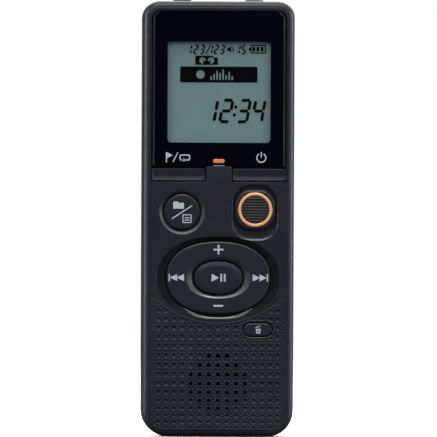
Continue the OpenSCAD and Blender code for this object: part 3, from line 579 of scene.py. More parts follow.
def build_moat(bm):
    """The moat round the rocker: steep above and below it, shallow at its sides. Returns brim and foot."""
    stations = [(0, -0.12, 0.0), (0, -0.02, 0.02)]
    stations += [(k / 8, 0, 0.04 + 0.75 * (k / 8) ** 1.2) for k in range(1, 9)]
    rings = []
    for share, grow, drop in stations:
        points = oval_points(NAV.x, NAV.z, MOAT_A - 1.8 * share - grow, MOAT_B - 0.92 * share - grow)
        rings.append(ring(bm, points, FACE))
        for vert, (_, z) in zip(rings[-1], points):
            steep = abs(z - NAV.z) / MOAT_B
            vert.co.y += drop * (0.3 + 0.7 * min(1.0, steep * 1.05) ** 4) * MM
    rings.append(ring(bm, oval_points(NAV.x, NAV.z, MOAT_A - 1.82, MOAT_B - 0.94), INNER))
    return join(bm, rings)


def dish_profile():
    """The dished surround of the folder key, in from its brim."""
    brim = [(inset - 0.95, y) for inset, y in lip(0.14)[:3]]
    slope = [(-0.95 + 0.8 * t, FACE + 0.06 + 0.5 * t ** 1.4) for t in (0.15, 0.3, 0.5, 0.7, 0.85, 1.0)]
    return brim + slope + [(0.0, FACE + 0.75), (0.0, INNER)]


def build_front_shell():
    bm = bmesh.new()
    rim, edge = loft(bm, body_outline, [(WALL, SPLIT), (0.1, SPLIT), (0, SPLIT - 0.12)])
    shoulder = [(blend(body_outline(), panel_outline(-0.17), 1 - math.cos(t)),
                 FACE + CREASE + SHOULDER_D * (1 - math.sin(t))) for t in quarter(9)]
    shoulder += [(panel_outline(inset), FACE + y) for inset, y in ((-0.08, 0.11), (0.05, 0.005), (0.12, 0))]
    edge = join(bm, [edge] + [ring(bm, points, y) for points, y in shoulder])[1]
    inner_wall = ring(bm, body_outline(WALL), INNER)
    bridge(bm, inner_wall, rim)
    face_holes, inner_holes = [], [inner_wall]

    # Window seat with the two bar slots: its walls and floor below the lip are painted nearly black as shade
    known = set(bm.faces)
    mouth, floor = loft(bm, window_and_bars_outline(), lip(0.12) + [(0, WINDOW_SEAT)])
    pass_throughs = [rounded(0, LCD_Z, 29.2, 30.8, 0.8)]
    pass_throughs += [rounded(side * BAR.x, BAR.z - 0.05, BAR_HOLE_W, BAR_HOLE_H, 0.3) for side in (-1, 1)]
    seats = [loft(bm, outline, [(0, WINDOW_SEAT), (0, INNER)]) for outline in pass_throughs]
    fill(bm, floor, *[seat[0] for seat in seats])
    # Painted shade: the faces deeper than the lip get the nearly black finish.
    for face in set(bm.faces) - known:
        if face.calc_center_median().y > (FACE + 0.15) * MM:
            face.material_index = PAINTED_SHADE
    face_holes.append(mouth)
    inner_holes += [seat[1] for seat in seats]

    # Folder key
    known = set(bm.faces)
    mouth, end = loft(bm, round_outline(FOLDER.x, FOLDER.z, FOLDER_DISH_R), dish_profile())
    paint(bm, known, RIM)
    face_holes.append(mouth)
    inner_holes.append(end)

    # Slider recess
    known = set(bm.faces)
    mouth, floor = loft(bm, rounded(KNOB.x, SLOT_Z, RECESS_W, RECESS_H, RECESS_R),
                        [(inset, FACE + y) for inset, y in RECESS])
    paint(bm, known, RIM)
    slot = loft(bm, SLOT, [(0, FACE + 1), (0, INNER)])
    fill(bm, floor, slot[0])
    face_holes.append(mouth)
    inner_holes.append(slot[1])

    # Moat round the rocker: its lower middle is polished, and the rest is painted nearly black as shade
    known = set(bm.faces)
    mouth, end = build_moat(bm)
    for face in set(bm.faces) - known:
        centre = face.calc_center_median() / MM
        across, below = abs(centre.x - NAV.x) / MOAT_A, (NAV.z - centre.z) / MOAT_B
        inward = 1 - math.hypot(across, below)
        # Faces above the middle and towards the sides get the painted shade; the lower middle keeps the
        # polished finish.
        face.material_index = POLISHED if below > 0 and across < 0.4 + 3 * inward else PAINTED_SHADE
    face_holes.append(mouth)
    inner_holes.append(end)

    # Dimpled zone, and the plain island round the erase key inside it
    outline = texture_outline()
    rings = [ring(bm, outline(inset), FACE) for inset in (-0.34, -0.2, 0.0)]
    for vert in rings[1]:
        if vert.co.z > ARC_LOW * MM:
            vert.co.y += 0.1 * MM
    rings += [ring(bm, outline(0.0), y) for y in (PANEL_BACK, INNER)]
    face_holes.append(join(bm, rings)[0])
    inner_holes.append(rings[-1])
    outer = loft(bm, erase_outline(2 * ISLAND_W + ERASE_GAP),
                 [(0, INNER), (0, FACE + 0.2)] + crown(0.3, FACE + 0.02))
    known = set(bm.faces)
    inner = loft(bm, erase_outline(ERASE_GAP), [(-0.3, FACE + 0.02), (-0.26, FACE + 0.04),
                                                (-0.05, FACE + 0.2), (0, FACE + 0.3), (0, INNER)])
    paint(bm, known, POLISHED)
    fill(bm, outer[1], inner[0])
    fill(bm, outer[0], inner[1])

    fill(bm, edge, *face_holes)
    fill(bm, *inner_holes)
    return bm


# ------------------------------------------------ dimpled panel with the speaker holes

SMALL_PITS = [(0.25, 0.5), (-0.25, 0.5), (0.25, -0.5), (-0.25, -0.5),
              (0.5, 0.2), (0.5, -0.2), (-0.5, 0.2), (-0.5, -0.2)]
MAIN_PIT_R, MAIN_PIT_DEPTH = 0.36, 0.36
SMALL_PIT_R, SMALL_PIT_DEPTH = 0.19, 0.2
CELL_EDGE_POINTS = 9                                # mesh points along one side of a lattice cell


def lattice_point(u, v):
    """Where column u and row v of the lattice lie, as x and z."""
    return (LATTICE_X * math.sin(math.radians(LATTICE_DX * u)),
            LATTICE_TOP - LATTICE_Z * math.sin(math.radians(LATTICE_DZ * v)))


def zone_clamp(x, z, margin=0.0):
    """Brings a point outside the dimpled zone onto its border, and tells how far inside it was."""
    half, low = TEXTURE_HALF_W + margin, TEXTURE_BOTTOM - margin
    corner = TEXTURE_CORNER + margin
    arc_r = ARC_R - margin
    inside = min(half - abs(x), z - low, math.hypot(x, z - ARC_CENTRE_Z) - arc_r)
    x = max(-half, min(half, x))
    z = max(low, min(ARC_CENTRE_Z - math.sqrt(arc_r ** 2 - x ** 2), z))
    over = Vector((abs(x) - (half - corner), (low + corner) - z))
    if over.x > 0 and over.y > 0:
        inside = min(inside, corner - over.length)
        if over.length > corner:
            over *= corner / over.length
            x, z = math.copysign(half - corner + over.x, x), low + corner - over.y
    return x, z, max(inside, 0.0)


def pit(distance, radius, depth):
    """Depth of a pit: steep sides, a rounded bottom and a softened brim."""
    t = max(0.0, 1 - distance / radius)
    return depth * (0.45 * t + 0.55 * t * t * (3 - 2 * t))


def panel_depth(u, v, with_main=True):
    """Depth of the dimpled surface at cell coordinates from -0.5 to 0.5."""
    depth = pit(math.hypot(u, v), MAIN_PIT_R, MAIN_PIT_DEPTH) if with_main else 0.0
    for pu, pv in SMALL_PITS:
        depth = max(depth, pit(math.hypot(u - pu, v - pv), SMALL_PIT_R, SMALL_PIT_DEPTH))
    return depth


def square_point(k, per_side):
    """Point k of 4 * per_side round the unit cell's edge, anticlockwise from the middle of its right side."""
    t = (k + per_side / 2) / per_side
    side, along = int(t) % 4, t - int(t) - 0.5
    return [(0.5, along), (-along, 0.5), (-0.5, -along), (along, -0.5)][side]


def is_speaker_hole(column, row):
    return 0 <= row < len(HOLE_ROWS) and abs(column) <= HOLE_ROWS[row]


def cell_loops(core_r, is_hole):
    """Nested loops of cell coordinates, from the core circle out to the cell's square edge."""
    count = 4 * CELL_EDGE_POINTS
    corners = [square_point(k, CELL_EDGE_POINTS) for k in range(count)]
    angles = [math.atan2(v, u) for u, v in corners]
    inner = () if is_hole else (0.3, 0.65)
    loops = [[(core_r * f * math.cos(a), core_r * f * math.sin(a)) for a in angles] for f in inner]
    for f in (0.0, 0.14, 0.28, 0.42, 0.56, 0.70, 0.85, 1.0):
        loops.append([(core_r * math.cos(a) * (1 - f) + u * f, core_r * math.sin(a) * (1 - f) + v * f)
                      for a, (u, v) in zip(angles, corners)])
    return loops


def under_erase_key(x, z):
    """Whether a place lies under the plain island round the erase key."""
    return math.hypot(max(abs(x - ERASE.x) - 1.95, 0), z - ERASE.z) < 2.05


def add_sheet(bm, loops, core, is_back):
    """Joins a cell's loops of (x, y, z, inside) points into faces, leaving out what lies beyond the zone."""
    rows = [[(bm.verts.new((x * MM, y * MM, z * MM)), inside) for x, y, z, inside in loop] for loop in loops]
    corners = []
    if core:
        x, y, z, inside = core
        hub = (bm.verts.new((x * MM, y * MM, z * MM)), inside)
        corners += [(hub, a, b) for a, b in zip(rows[0], rows[0][1:] + rows[0][:1])]
    for inner, outer in zip(rows, rows[1:]):
        count = len(inner)
        for k in range(count):
            j = (k + 1) % count
            corners.append((inner[k], outer[k], outer[j], inner[j]))
    for points in corners:
        x, _, z = sum((vert.co for vert, _ in points), Vector()) / len(points) / MM
        if max(inside for _, inside in points) > 0 and not under_erase_key(x, z):
            face = bm.faces.new([vert for vert, _ in points])
            face.smooth = not is_back
            if is_back:
                face.normal_flip()
    return [vert for vert, _ in rows[0]]


def add_cell(bm, column, row):
    """One cell of the lattice, front and back: a dimple, or a hole with a tube between the two."""
    is_hole = is_speaker_hole(column, row)
    front, back = [], []
    for i, loop in enumerate(cell_loops(0.215 - 0.007 * row if is_hole else 0.2, is_hole)):
        extra = 0.12 if is_hole and i == 0 else 0.0
        points = []
        for u, v in loop:
            x, z, inside = zone_clamp(*lattice_point(column + u, row - v), 0.02)
            depth = extra + panel_depth(u, v, not is_hole) * min(1.0, inside / 0.3)
            points.append((x, PANEL + depth, z, inside))
        front.append(points)
        back.append([(x, PANEL_BACK, z, inside) for x, _, z, inside in points])
    core = back_core = None
    if not is_hole:
        x, z, inside = zone_clamp(*lattice_point(column, row), 0.02)
        core = (x, PANEL + panel_depth(0, 0) * min(1.0, inside / 0.3), z, inside)
        back_core = (x, PANEL_BACK, z, inside)
    is_plain = not any(inside <= 0 or under_erase_key(x, z) for x, _, z, inside in front[-1])
    mouth = add_sheet(bm, front, core, False)
    end = add_sheet(bm, ([back[0]] if is_hole else []) + back[-1:] if is_plain else back, back_core, True)
    if is_hole:
        bridge(bm, mouth, end)


def build_panel():
    """The dimpled panel with its speaker holes, as a closed plate."""
    bm = bmesh.new()
    for row in range(-7, 10):
        for column in range(-8, 9):
            corners = [lattice_point(column + u, row - v) for u in (-0.5, 0, 0.5) for v in (-0.5, 0, 0.5)]
            if any(zone_clamp(x, z)[2] > 0.02 for x, z in corners):
                add_cell(bm, column, row)
    weld = 0.0005 * MM
    bmesh.ops.remove_doubles(bm, verts=bm.verts, dist=weld)
    front_rim = [edge for edge in bm.edges
                 if edge.is_boundary and min(v.co.y for v in edge.verts) < (PANEL_BACK - 0.01) * MM]
    wall = bmesh.ops.extrude_edge_only(bm, edges=front_rim)["geom"]
    for vert in (item for item in wall if isinstance(item, bmesh.types.BMVert)):
        vert.co.y = PANEL_BACK * MM
    bmesh.ops.remove_doubles(bm, verts=bm.verts, dist=weld)
    loose = [v for v in bm.verts if not v.link_faces]
    bmesh.ops.delete(bm, geom=loose, context="VERTS")
    return bm


def build_front():
    finish_mesh("front_shell", build_front_shell(), SHELL_FINISHES, "housing", ("front_case",), 32)
    finish_mesh("speaker_panel", build_panel(), texture_plastic, "housing", angle=55)


build_front()


# ------------------------------------------------ rear shell and battery cover

COVER_HALF_W, _, COVER_TOP = node_box("battery_cover")[1]
PIN = middle("hinge_pin")
HINGE_R = BACK - PIN.y
COVER_SEAT = BACK - 1.05
BAY_HALF_W, BAY_Z0, BAY_Z1 = 10.8, 7.5, 59.1
BAY_FLOOR = -2.95
LOW_SCREW, HIGH_SCREW = (12.9, 11.0), (13.7, 103.3)
COVER_GAP = 0.2
INNER_BACK = 6.3                                    # how far back the hollow of the shell goes
PIN_HOLE_R, SCREW_HOLE_R = 0.55, 1.65
SOCKET_HOLE_R, PORT_R = 2.33, 0.55
USB_HOLE_W, USB_HOLE_H = 3.1, 8.1
LABEL_W, LABEL_H = 22.3, 16.3                       # of the label's recess


def build_rear_shell():
    bm = bmesh.new()
    rounding = turned(crown(BACK_ROUND_W, BACK, BACK_ROUND_D, 9))
    rim, back_edge = loft(bm, body_outline, [(WALL, SPLIT), (0.1, SPLIT), (0, SPLIT + 0.12)] + rounding)
    inner_edge = ring(bm, body_outline(WALL + 1.2), INNER_BACK)
    join(bm, [rim, ring(bm, body_outline(WALL), INNER_BACK - 1.2), inner_edge])

    low, high, half = PIN.z - HINGE_R - COVER_GAP, COVER_TOP + COVER_GAP, COVER_HALF_W + COVER_GAP
    recess = filleted([(-half, low, 0.3), (half, low, 0.3), (half, high, 1.7), (-half, high, 1.7)])
    mouth, seat = loft(bm, recess, turned(lip(0.15, BACK)) + [(0, COVER_SEAT)])
    back_holes = [mouth]
    cradle = loft(bm, rounded(0, PIN.z, 2 * COVER_HALF_W + 0.34, 2 * HINGE_R + 0.34, 0.2),
                  [(0, COVER_SEAT), (0, PIN.y - 0.6), (0.35, PIN.y - 1.3),
                   (1.0, PIN.y - HINGE_R - COVER_GAP)])
    fill(bm, cradle[1])
    bay = loft(bm, rounded(0, (BAY_Z0 + BAY_Z1) / 2, 2 * BAY_HALF_W, BAY_Z1 - BAY_Z0, 0.5),
               [(-0.15, COVER_SEAT), (0, COVER_SEAT - 0.15), (0, BAY_FLOOR + 0.3), (0.3, BAY_FLOOR)])
    fill(bm, bay[1])
    seat_holes = [cradle[0], bay[0]]
    for side in (-1, 1):
        for (x, z), y, depth, holes in ((LOW_SCREW, COVER_SEAT, 1.3, seat_holes),
                                        (HIGH_SCREW, BACK, 1.5, back_holes)):
            bore = loft(bm, round_outline(side * x, z, SCREW_HOLE_R, 32),
                        [(-0.1, y), (0, y - 0.1), (0, y - depth)])
            fill(bm, bore[1])
            holes.append(bore[0])
    label = middle("rear_label")
    label_recess = loft(bm, rounded(label.x, label.z, LABEL_W, LABEL_H, 1.0),
                        turned(lip(0.08, BACK)) + [(0, BACK - 0.19)])
    fill(bm, label_recess[1])
    back_holes.append(label_recess[0])
    fill(bm, seat, *seat_holes)
    fill(bm, back_edge, *back_holes)

    # Inside, the bay and the hinge cradle stand out of the shell
    foot_half, foot_low, foot_high, bay_half, bay_high = 15.6, 2.5, 7.4, 11.9, 60.2
    stem = filleted([(x, z, 0.2) for x, z in (
        (-foot_half, foot_low), (foot_half, foot_low), (foot_half, foot_high), (bay_half, foot_high),
        (bay_half, bay_high), (-bay_half, bay_high), (-bay_half, foot_high), (-foot_half, foot_high))])
    stem_rings = loft(bm, stem, [(0, INNER_BACK), (0, 5.0)])
    tub = loft(bm, rounded(0, 33.4, 23.2, 52.8, 0.6), [(0, 5.0), (0, BAY_FLOOR - 0.65)])
    fill(bm, tub[1])
    fill(bm, stem_rings[1], tub[0])
    fill(bm, inner_edge, stem_rings[0])
    return bm


def build_rear():
    """The rear shell, with its sockets, microphone port and USB opening cut through its walls."""
    cutter = bmesh.new()
    jack = middle("earphone_jack_collar")
    for x, r, steps in ((-jack.x, SOCKET_HOLE_R, 48), (jack.x, SOCKET_HOLE_R, 48), (0, PORT_R, 24)):
        add_cylinder(cutter, (x, jack.y, BODY_H), (0, 0, 1), r, 5, steps)
    usb = middle("usb_socket")
    socket = rounded(usb.y, usb.z, USB_HOLE_W, USB_HOLE_H, 0.7)()
    ends = (BODY_W / 2 - 3, BODY_W / 2 + 1)
    capped(cutter, [ring_at(cutter, [(x, y, z) for y, z in socket]) for x in ends])
    body = boolean(build_rear_shell(), cutter, "DIFFERENCE")
    finish_mesh("rear_shell", body, rear_plastic, "housing", ("rear_case",), 32)


def build_cover():
    """The battery cover: a plate joined to the barrel of its hinge, with thumb grooves and a pin hole."""
    plate, barrel, grooves, bore = (bmesh.new() for _ in range(4))
    solid(plate, filleted([(-COVER_HALF_W, PIN.z, 0.05), (COVER_HALF_W, PIN.z, 0.05),
                           (COVER_HALF_W, COVER_TOP, 1.5), (-COVER_HALF_W, COVER_TOP, 1.5)]),
          [(0, BACK - 0.8), (0, BACK - 0.2)] + turned(crown(0.2, BACK)))
    add_cylinder(barrel, (0, PIN.y, PIN.z), (1, 0, 0), HINGE_R, 2 * COVER_HALF_W, 64)
    for k in range(7):
        add_cylinder(grooves, (0, BACK + 0.35, 47.5 + 1.5 * k), (1, 0, 0), 0.62, 12.4, 32)
    add_cylinder(bore, (0, PIN.y, PIN.z), (1, 0, 0), PIN_HOLE_R, 2 * COVER_HALF_W + 2, 32)
    body = boolean(boolean(boolean(plate, barrel, "UNION"), grooves, "DIFFERENCE"), bore, "DIFFERENCE")
    finish_mesh("cover_panel", body, rear_plastic, "battery_door", ("battery_cover",), 32)


build_rear()
build_cover()


# ------------------------------------------------ window and display

def build_window():
    """The glossy window: a plate that is black except where a clear pane shows the display."""
    bm = bmesh.new()
    height, middle_z = WINDOW_TOP - WINDOW_BOTTOM, (WINDOW_BOTTOM + WINDOW_TOP) / 2
    outline = rounded(0, middle_z, WINDOW_W, height, 2.1, 0.25)
    face_outline = rounded(0, middle_z, WINDOW_W - 1.3, height - 0.16, 1.8, 0.2)
    back, front = loft(bm, outline, [(0, FACE + 1.0), (0, FACE + 0.42)])
    known = set(bm.faces)
    bevel = ((0.06, 0.37), (0.88, 0.05), (1.0, 0.02))
    front = join(bm, [front] + [ring(bm, blend(outline(), face_outline(), share), FACE + y)
                                for share, y in bevel])[1]
    paint(bm, known)
    lamp = loft(bm, rounded(LAMP.x, LAMP.z, 3.05, 1.12, 0.5),
                [(-0.05, FACE + 0.02), (0, FACE + 0.07), (0, FACE + 1.0)])
    view = rounded(0, VIEW_Z, VIEW_W, VIEW_H, 0.7, 1.0)
    opening = loft(bm, view, [(0, FACE + 0.02), (0, FACE + 1.0)])
    fill(bm, front, lamp[0], opening[0])
    fill(bm, back, lamp[1], opening[1])
    finish_mesh("window_plate", bm, [window_black, window_edge], "housing",
                ("display_window", "window_mask"))

    bm = bmesh.new()
    solid(bm, view, [(0.01, FACE + 0.02), (0.01, FACE + 0.6)])
    finish_mesh("window_pane", bm, window_clear, "housing")


def build_display():
    """The display's ground, a shallow tray behind the window."""
    bm = bmesh.new()
    solid(bm, rounded(0, LCD_Z, 28.8, 30.4, 0.3), [(0, LCD_Y + 1.4), (0, LCD_Y + 0.1)] + crown(0.1, LCD_Y))
    finish_mesh("display_glass", bm, display_ground, "housing",
                ("lcd_front_glass", "lcd_rear_glass"))


build_window()
build_display()


# ------------------------------------------------ printed marks, as thin raised shapes

def marks(name, shapes, y, body, material=print_ink, thickness=0.03):
    """Thin flat shapes standing out of the plane y to the front. A shape is an outline and its holes."""
    bm = bmesh.new()
    for loops in shapes:
        top = [ring(bm, loop, y - thickness) for loop in loops]
        base = [ring(bm, loop, y + 0.01) for loop in loops]
        for a, b in zip(top, base):
            bridge(bm, a, b)
        fill(bm, *top)
        fill(bm, *base)
    finish_mesh(name, bm, material, body, angle=30)


def bar(x0, z0, x1, z1, width):
    """A straight stroke."""
    a, b = Vector((x0, z0)), Vector((x1, z1))
    side = (b - a).normalized()
    side = Vector((-side.y, side.x)) * width / 2
    return [[tuple(a - side), tuple(b - side), tuple(b + side), tuple(a + side)]]


def block(x0, x1, z0, z1):
    return [[(x0, z0), (x1, z0), (x1, z1), (x0, z1)]]


def frame_shape(x0, x1, z0, z1, width, r):
    outline = rounded((x0 + x1) / 2, (z0 + z1) / 2, x1 - x0, z1 - z0, r)
    return [outline(), outline(width)]


def triangle(tip_x, base_x, z, half_h):
    return [[(base_x, z - half_h), (tip_x, z), (base_x, z + half_h)]]


def arc_band(cx, cz, r_out, r_in, a0, a1, steps=20):
    angles = [math.radians(a0 + (a1 - a0) * k / steps) for k in range(steps + 1)]
    outer = [(cx + r_out * math.cos(a), cz + r_out * math.sin(a)) for a in angles]
    inner = [(cx + r_in * math.cos(a), cz + r_in * math.sin(a)) for a in reversed(angles)]
    return [outer + inner]


def disc(cx, cz, r, steps=28):
    return [oval_points(cx, cz, r, r, 2.0, steps)]


NAV_TOP = node_box("nav_ring")[0].y
KEY_TOP = node_box("folder_button")[0].y
PLAY_TOP = node_box("play_button")[0].y
ERASE_TOP = node_box("erase_button")[0].y


def window_marks():
    """Flag, stroke and repeat loop at the left, and the power symbol at the right, under the display."""
    z0, z1 = LAMP.z - 0.35, LAMP.z + 2.15
    flag = [[(-13.1, z0), (-12.85, z0), (-12.85, z0 + 1.0), (-11.45, z1 - 0.75), (-12.85, z1), (-13.1, z1)]]
    loop_low, loop_high = LAMP.z - 0.05, LAMP.z + 1.7
    x, z = 10.5, LAMP.z + 0.85
    return [flag, bar(-11.35, z0 + 0.1, -10.15, z1 - 0.1, 0.24),
            frame_shape(-9.75, -7.1, loop_low + 0.15, loop_high - 0.1, 0.28, 0.45),
            triangle(-9.35, -8.55, loop_low + 0.28, 0.42),
            arc_band(x, z, 1.25, 0.98, 122, 418), bar(x, z + 0.1, x, z + 1.45, 0.27)]


def rocker_marks():
    """A plus and a minus sign above and below the play key, and skip signs at its sides."""
    x, z = NAV.x, NAV.z
    side, up, half, w = 10.35, 6.95, 1.2, 0.22
    shapes = [[[(x + a, z + up + b) for a, b in (
        (-half, -w), (-w, -w), (-w, -half), (w, -half), (w, -w), (half, -w),
        (half, w), (w, w), (w, half), (-w, half), (-w, w), (-half, w))]],
        bar(x - half, z - up, x + half, z - up, 0.45)]
    for s in (-1, 1):
        shapes += [triangle(x + s * (side + 0.05), x + s * (side - 1.85), z, 0.88),
                   triangle(x + s * (side + 1.65), x + s * (side - 0.15), z, 0.88),
                   block(*sorted((x + s * (side + 1.62), x + s * (side + 1.95))), z - 0.9, z + 0.9)]
    return shapes


def play_marks():
    x, z = NAV.x, NAV.z
    return [triangle(x + 0.15, x - 1.7, z, 0.98)] + [block(x + dx, x + dx + 0.42, z - 0.95, z + 0.95)
                                                     for dx in (0.5, 1.35)]


def folder_marks():
    """A folder and a page of lines, with a slanting stroke between them."""
    x, z = FOLDER.x, FOLDER.z
    folder = [[(x - 2.2, z + 0.75), (x + 0.45, z + 0.75), (x + 0.45, z + 2.2), (x - 0.85, z + 2.2),
               (x - 1.1, z + 2.5), (x - 2.0, z + 2.5), (x - 2.2, z + 2.3)]]
    x0, x1, z0, z1 = x + 0.1, x + 2.35, z - 2.8, z - 0.65
    page = [frame_shape(x0, x1, z0, z1, 0.24, 0.2)]
    page += [block(x0 + 0.55, x1 - 0.5, z0 + 0.62 + 0.55 * k, z0 + 0.84 + 0.55 * k) for k in range(2)]
    return [folder, bar(x - 2.5, z - 1.75, x + 2.45, z + 1.5, 0.27), *page]


def erase_marks():
    """A bin with three ribs, and its lid tipped open."""
    x, z = ERASE.x + 0.15, ERASE.z - 0.1
    can = [[(x - 0.5, z - 0.85), (x + 0.5, z - 0.85), (x + 0.62, z + 0.3), (x - 0.62, z + 0.3)]]
    can += [block(x + dx - 0.06, x + dx + 0.06, z - 0.6, z + 0.08)[0] for dx in (-0.26, 0, 0.26)]
    return [can, bar(x - 0.75, z + 0.52, x + 0.4, z + 0.98, 0.24)]


def build_marks():
    marks("window_marks", window_marks(), FACE + 0.02, "housing", thickness=0.02)
    sill = block(LAMP.x - 1.4, LAMP.x + 1.4, WINDOW_BOTTOM + 0.1, WINDOW_BOTTOM + 0.24)
    marks("lamp_sill", [sill], FACE + 0.03, "housing", grey_rubber, 0.02)
    marks("rocker_marks", rocker_marks(), NAV_TOP, "rocker_ring")
    marks("play_marks", play_marks(), PLAY_TOP, "play_key")
    marks("folder_marks", folder_marks(), KEY_TOP, "folder_key")
    marks("erase_marks", erase_marks(), ERASE_TOP, "erase_key")


build_marks()

SEGMENTS = {"1": "bc", "2": "abged", "3": "abgcd", "4": "fgbc", "5": "afgcd"}
SLANT = 0.175


def digit(char, x, z, w, h, t):
    """The lit segments of one leaning figure; x and z are its lower left corner."""
    end, outer, inner, nip = 0.62 * t, 0.66 * t, 0.3 * t, 0.3 * t
    upper, lower = (h / 2 + inner, h - outer), (outer, h / 2 - inner)
    strokes = {"a": h - t / 2, "g": h / 2, "d": t / 2,
               "b": (w - t / 2, *upper), "c": (w - t / 2, *lower), "f": (t / 2, *upper), "e": (t / 2, *lower)}
    shapes = []
    for key in SEGMENTS[char]:
        if key in "agd":
            zc = strokes[key]
            points = [(end, zc), (end + nip, zc - t / 2), (w - end - nip, zc - t / 2), (w - end, zc),
                      (w - end - nip, zc + t / 2), (end + nip, zc + t / 2)]
        else:
            xc, z0, z1 = strokes[key]
            points = [(xc, z0), (xc + t / 2, z0 + nip), (xc + t / 2, z1 - nip), (xc, z1),
                      (xc - t / 2, z1 - nip), (xc - t / 2, z0 + nip)]
        shapes.append([[(x + px + SLANT * pz, z + pz) for px, pz in points]])
    return shapes


def face_icon(x, z, r, side):
    """A disc with an open mouth turned to one side."""
    angles = [math.radians(-8 + 290 * k / 16) for k in range(17)]
    rim = [(x + side * r * math.cos(a), z + r * math.sin(a)) for a in angles]
    return rim + [(x + side * 0.18 * r, z - 0.12 * r)]


def build_display_marks():
    """What the display shows: file counter, volume, cell level, a scene icon, a level banner and the time."""
    row, row_h = 94.63, 2.45
    shapes = []
    for char, x in zip("12312315", (-8.13, -6.58, -4.97, -2.9, -1.48, 0.03, 3.88, 5.26)):
        shapes += digit(char, x, row, 1.16, row_h, 0.4)
    shapes += [bar(-3.34, row, -2.1, row + row_h, 0.28)]
    volume_z = row + 1.28
    horn = ((1.98, -0.35), (2.4, -0.35), (2.95, -0.78), (2.95, 0.78), (2.4, 0.35), (1.98, 0.35))
    shapes += [[[(x, volume_z + z) for x, z in horn]], arc_band(2.7, volume_z, 0.95, 0.7, -42, 42, 8)]
    shapes += [frame_shape(7.74, 11.58, row + 0.3, row + 2.46, 0.28, 0.35),
               block(7.36, 7.74, row + 1.02, row + 1.74)]
    shapes += [block(x, x + 0.68, row + 0.82, row + 1.92) for x in (8.24, 9.24, 10.28)]
    x0, x1, z0, z1 = -5.91, -0.3, 92.08, 94.33
    scene = [(x0, z0), (x1, z0), (x1, z1 - 0.42), (x1 - 0.95, z1 - 0.42), (x1 - 1.35, z1), (x0, z1)]
    shapes += [[scene, face_icon(-4.1, 93.15, 0.8, 1), face_icon(-2.0, 93.15, 0.8, -1)],
               disc(-3.95, 93.5, 0.16, 12), disc(-2.15, 93.5, 0.16, 12)]
    banner = rounded(-0.07, 89.68, 19.15, 3.9, 0.35)()
    levels = (0.9, 1.5, 2.3, 1.7, 2.6, 1.2, 2.0, 1.0)
    holes = [block(-2.2 + 0.75 * k, -1.78 + 0.75 * k, 88.35, 88.35 + h)[0] for k, h in enumerate(levels)]
    shapes += [[banner, disc(-4.61, 89.68, 1.06)[0], *holes]]
    for char, x in zip("1234", (-3.96, -0.23, 4.13, 7.78)):
        shapes += digit(char, x, 77.66, 3.06, 6.04, 0.75)
    shapes += [disc(3.84, 79.7, 0.4, 20), disc(4.19, 81.65, 0.4, 20)]
    marks("display_figures", shapes, LCD_Y - 0.06, "housing", segment_ink, 0.02)


build_display_marks()


# ------------------------------------------------ keys

def key(name, outline, top, radius, body, node):
    """A push key: a wall, a rounded edge and a flat top."""
    bm = bmesh.new()
    solid(bm, outline, [(0.15, KEY_FOOT), (0, KEY_FOOT - 0.15), (0, top + radius)] + crown(radius, top)[1:])
    finish_mesh(name, bm, key_plastic, body, (node,))


def bar_key(name, side, body, node):
    """A bar key with a finger scoop: its long upper slope faces down and its short lower slope faces up."""
    bm = bmesh.new()
    top, zc, half_h, half_w = FACE - 0.1, BAR.z + 0.02, 1.375, 6.5
    # z, y and depth of the scoop
    section = [(half_h, 1.4, 0), (half_h, 0.07, 0), (half_h - 0.06, 0, 0), (half_h - 0.14, 0, 0.02),
               (0.45, 0, 0.15), (-0.2, 0, 0.27), (-0.45, 0, 0.28), (-0.6, 0, 0.26), (-half_h + 0.2, 0, 0.17),
               (-half_h + 0.1, 0, 0.12), (-half_h, 0.1, 0), (-half_h, 1.4, 0)]
    x0, x1 = side * BAR.x - half_w, side * BAR.x + half_w
    ends = ((0, 0.1, 0), (0.04, 0.04, 0), (0.1, 0, 0.02), (0.5, 0, 0.92), (0.62, 0, 1))
    stations = [(x0 + dx, shrink, scoop) for dx, shrink, scoop in ends]
    stations += [(x1 - dx, shrink, scoop) for dx, shrink, scoop in reversed(ends)]
    capped(bm, [ring_at(bm, [(x, top + y + deep * scoop + (shrink if y < 1 else 0),
                              zc + z * (1 - shrink / half_h)) for z, y, deep in section])
                for x, shrink, scoop in stations])
    finish_mesh(name, bm, key_plastic, body, (node,), 24)


def build_rocker():
    """The rocker ring with its dished inner edge and its flange, and the play key in its middle."""
    bm = bmesh.new()
    x, z = NAV.x, NAV.z
    a, b, top = NAV_A, NAV_B, NAV_TOP
    outer = [(a, b, KEY_FOOT)] + [(a - i, b - i, y) for i, y in crown(0.45, top, 0.5, 6)]
    dish = [(7.95, 5.15, top), (7.86, 5.1, top + 0.03), (7.3, 4.78, top + 0.28), (6.7, 4.45, top + 0.55),
            (6.25, 4.2, top + 0.77), (6.15, 4.14, top + 0.9), (6.15, 4.14, KEY_FOOT)]
    first, brim = loft_ovals(bm, x, z, outer)
    known = set(bm.faces)
    rim, last = loft_ovals(bm, x, z, dish)
    paint(bm, known)
    bridge(bm, brim, rim)
    bridge(bm, last, first)
    reach, high, low = 0.5, INNER + 0.56, INNER + 0.95
    join(bm, [ring(bm, oval_points(x, z, a + grow, b + grow), y) for grow, y in (
        (reach, low), (reach, high), (-reach, high), (-reach, low))], True)
    finish_mesh("rocker_key", bm, [key_plastic, rim_plastic], "rocker_ring", ("nav_ring",))

    bm = bmesh.new()
    a, b, top = PLAY_A, PLAY_B, PLAY_TOP
    stations = [(a, b, INNER + 0.4), (a, b, top + 0.5)]
    stations += [(a - i, b - i, y + 0.18) for i, y in crown(0.22, top)]
    stations += [(a - 0.9, b - 0.9, top + 0.04), (a - 1.1, b - 1.1, top)]
    for loop in loft_ovals(bm, x, z, stations):
        fill(bm, loop)
    finish_mesh("play_key_cap", bm, key_plastic, "play_key", ("play_button",))


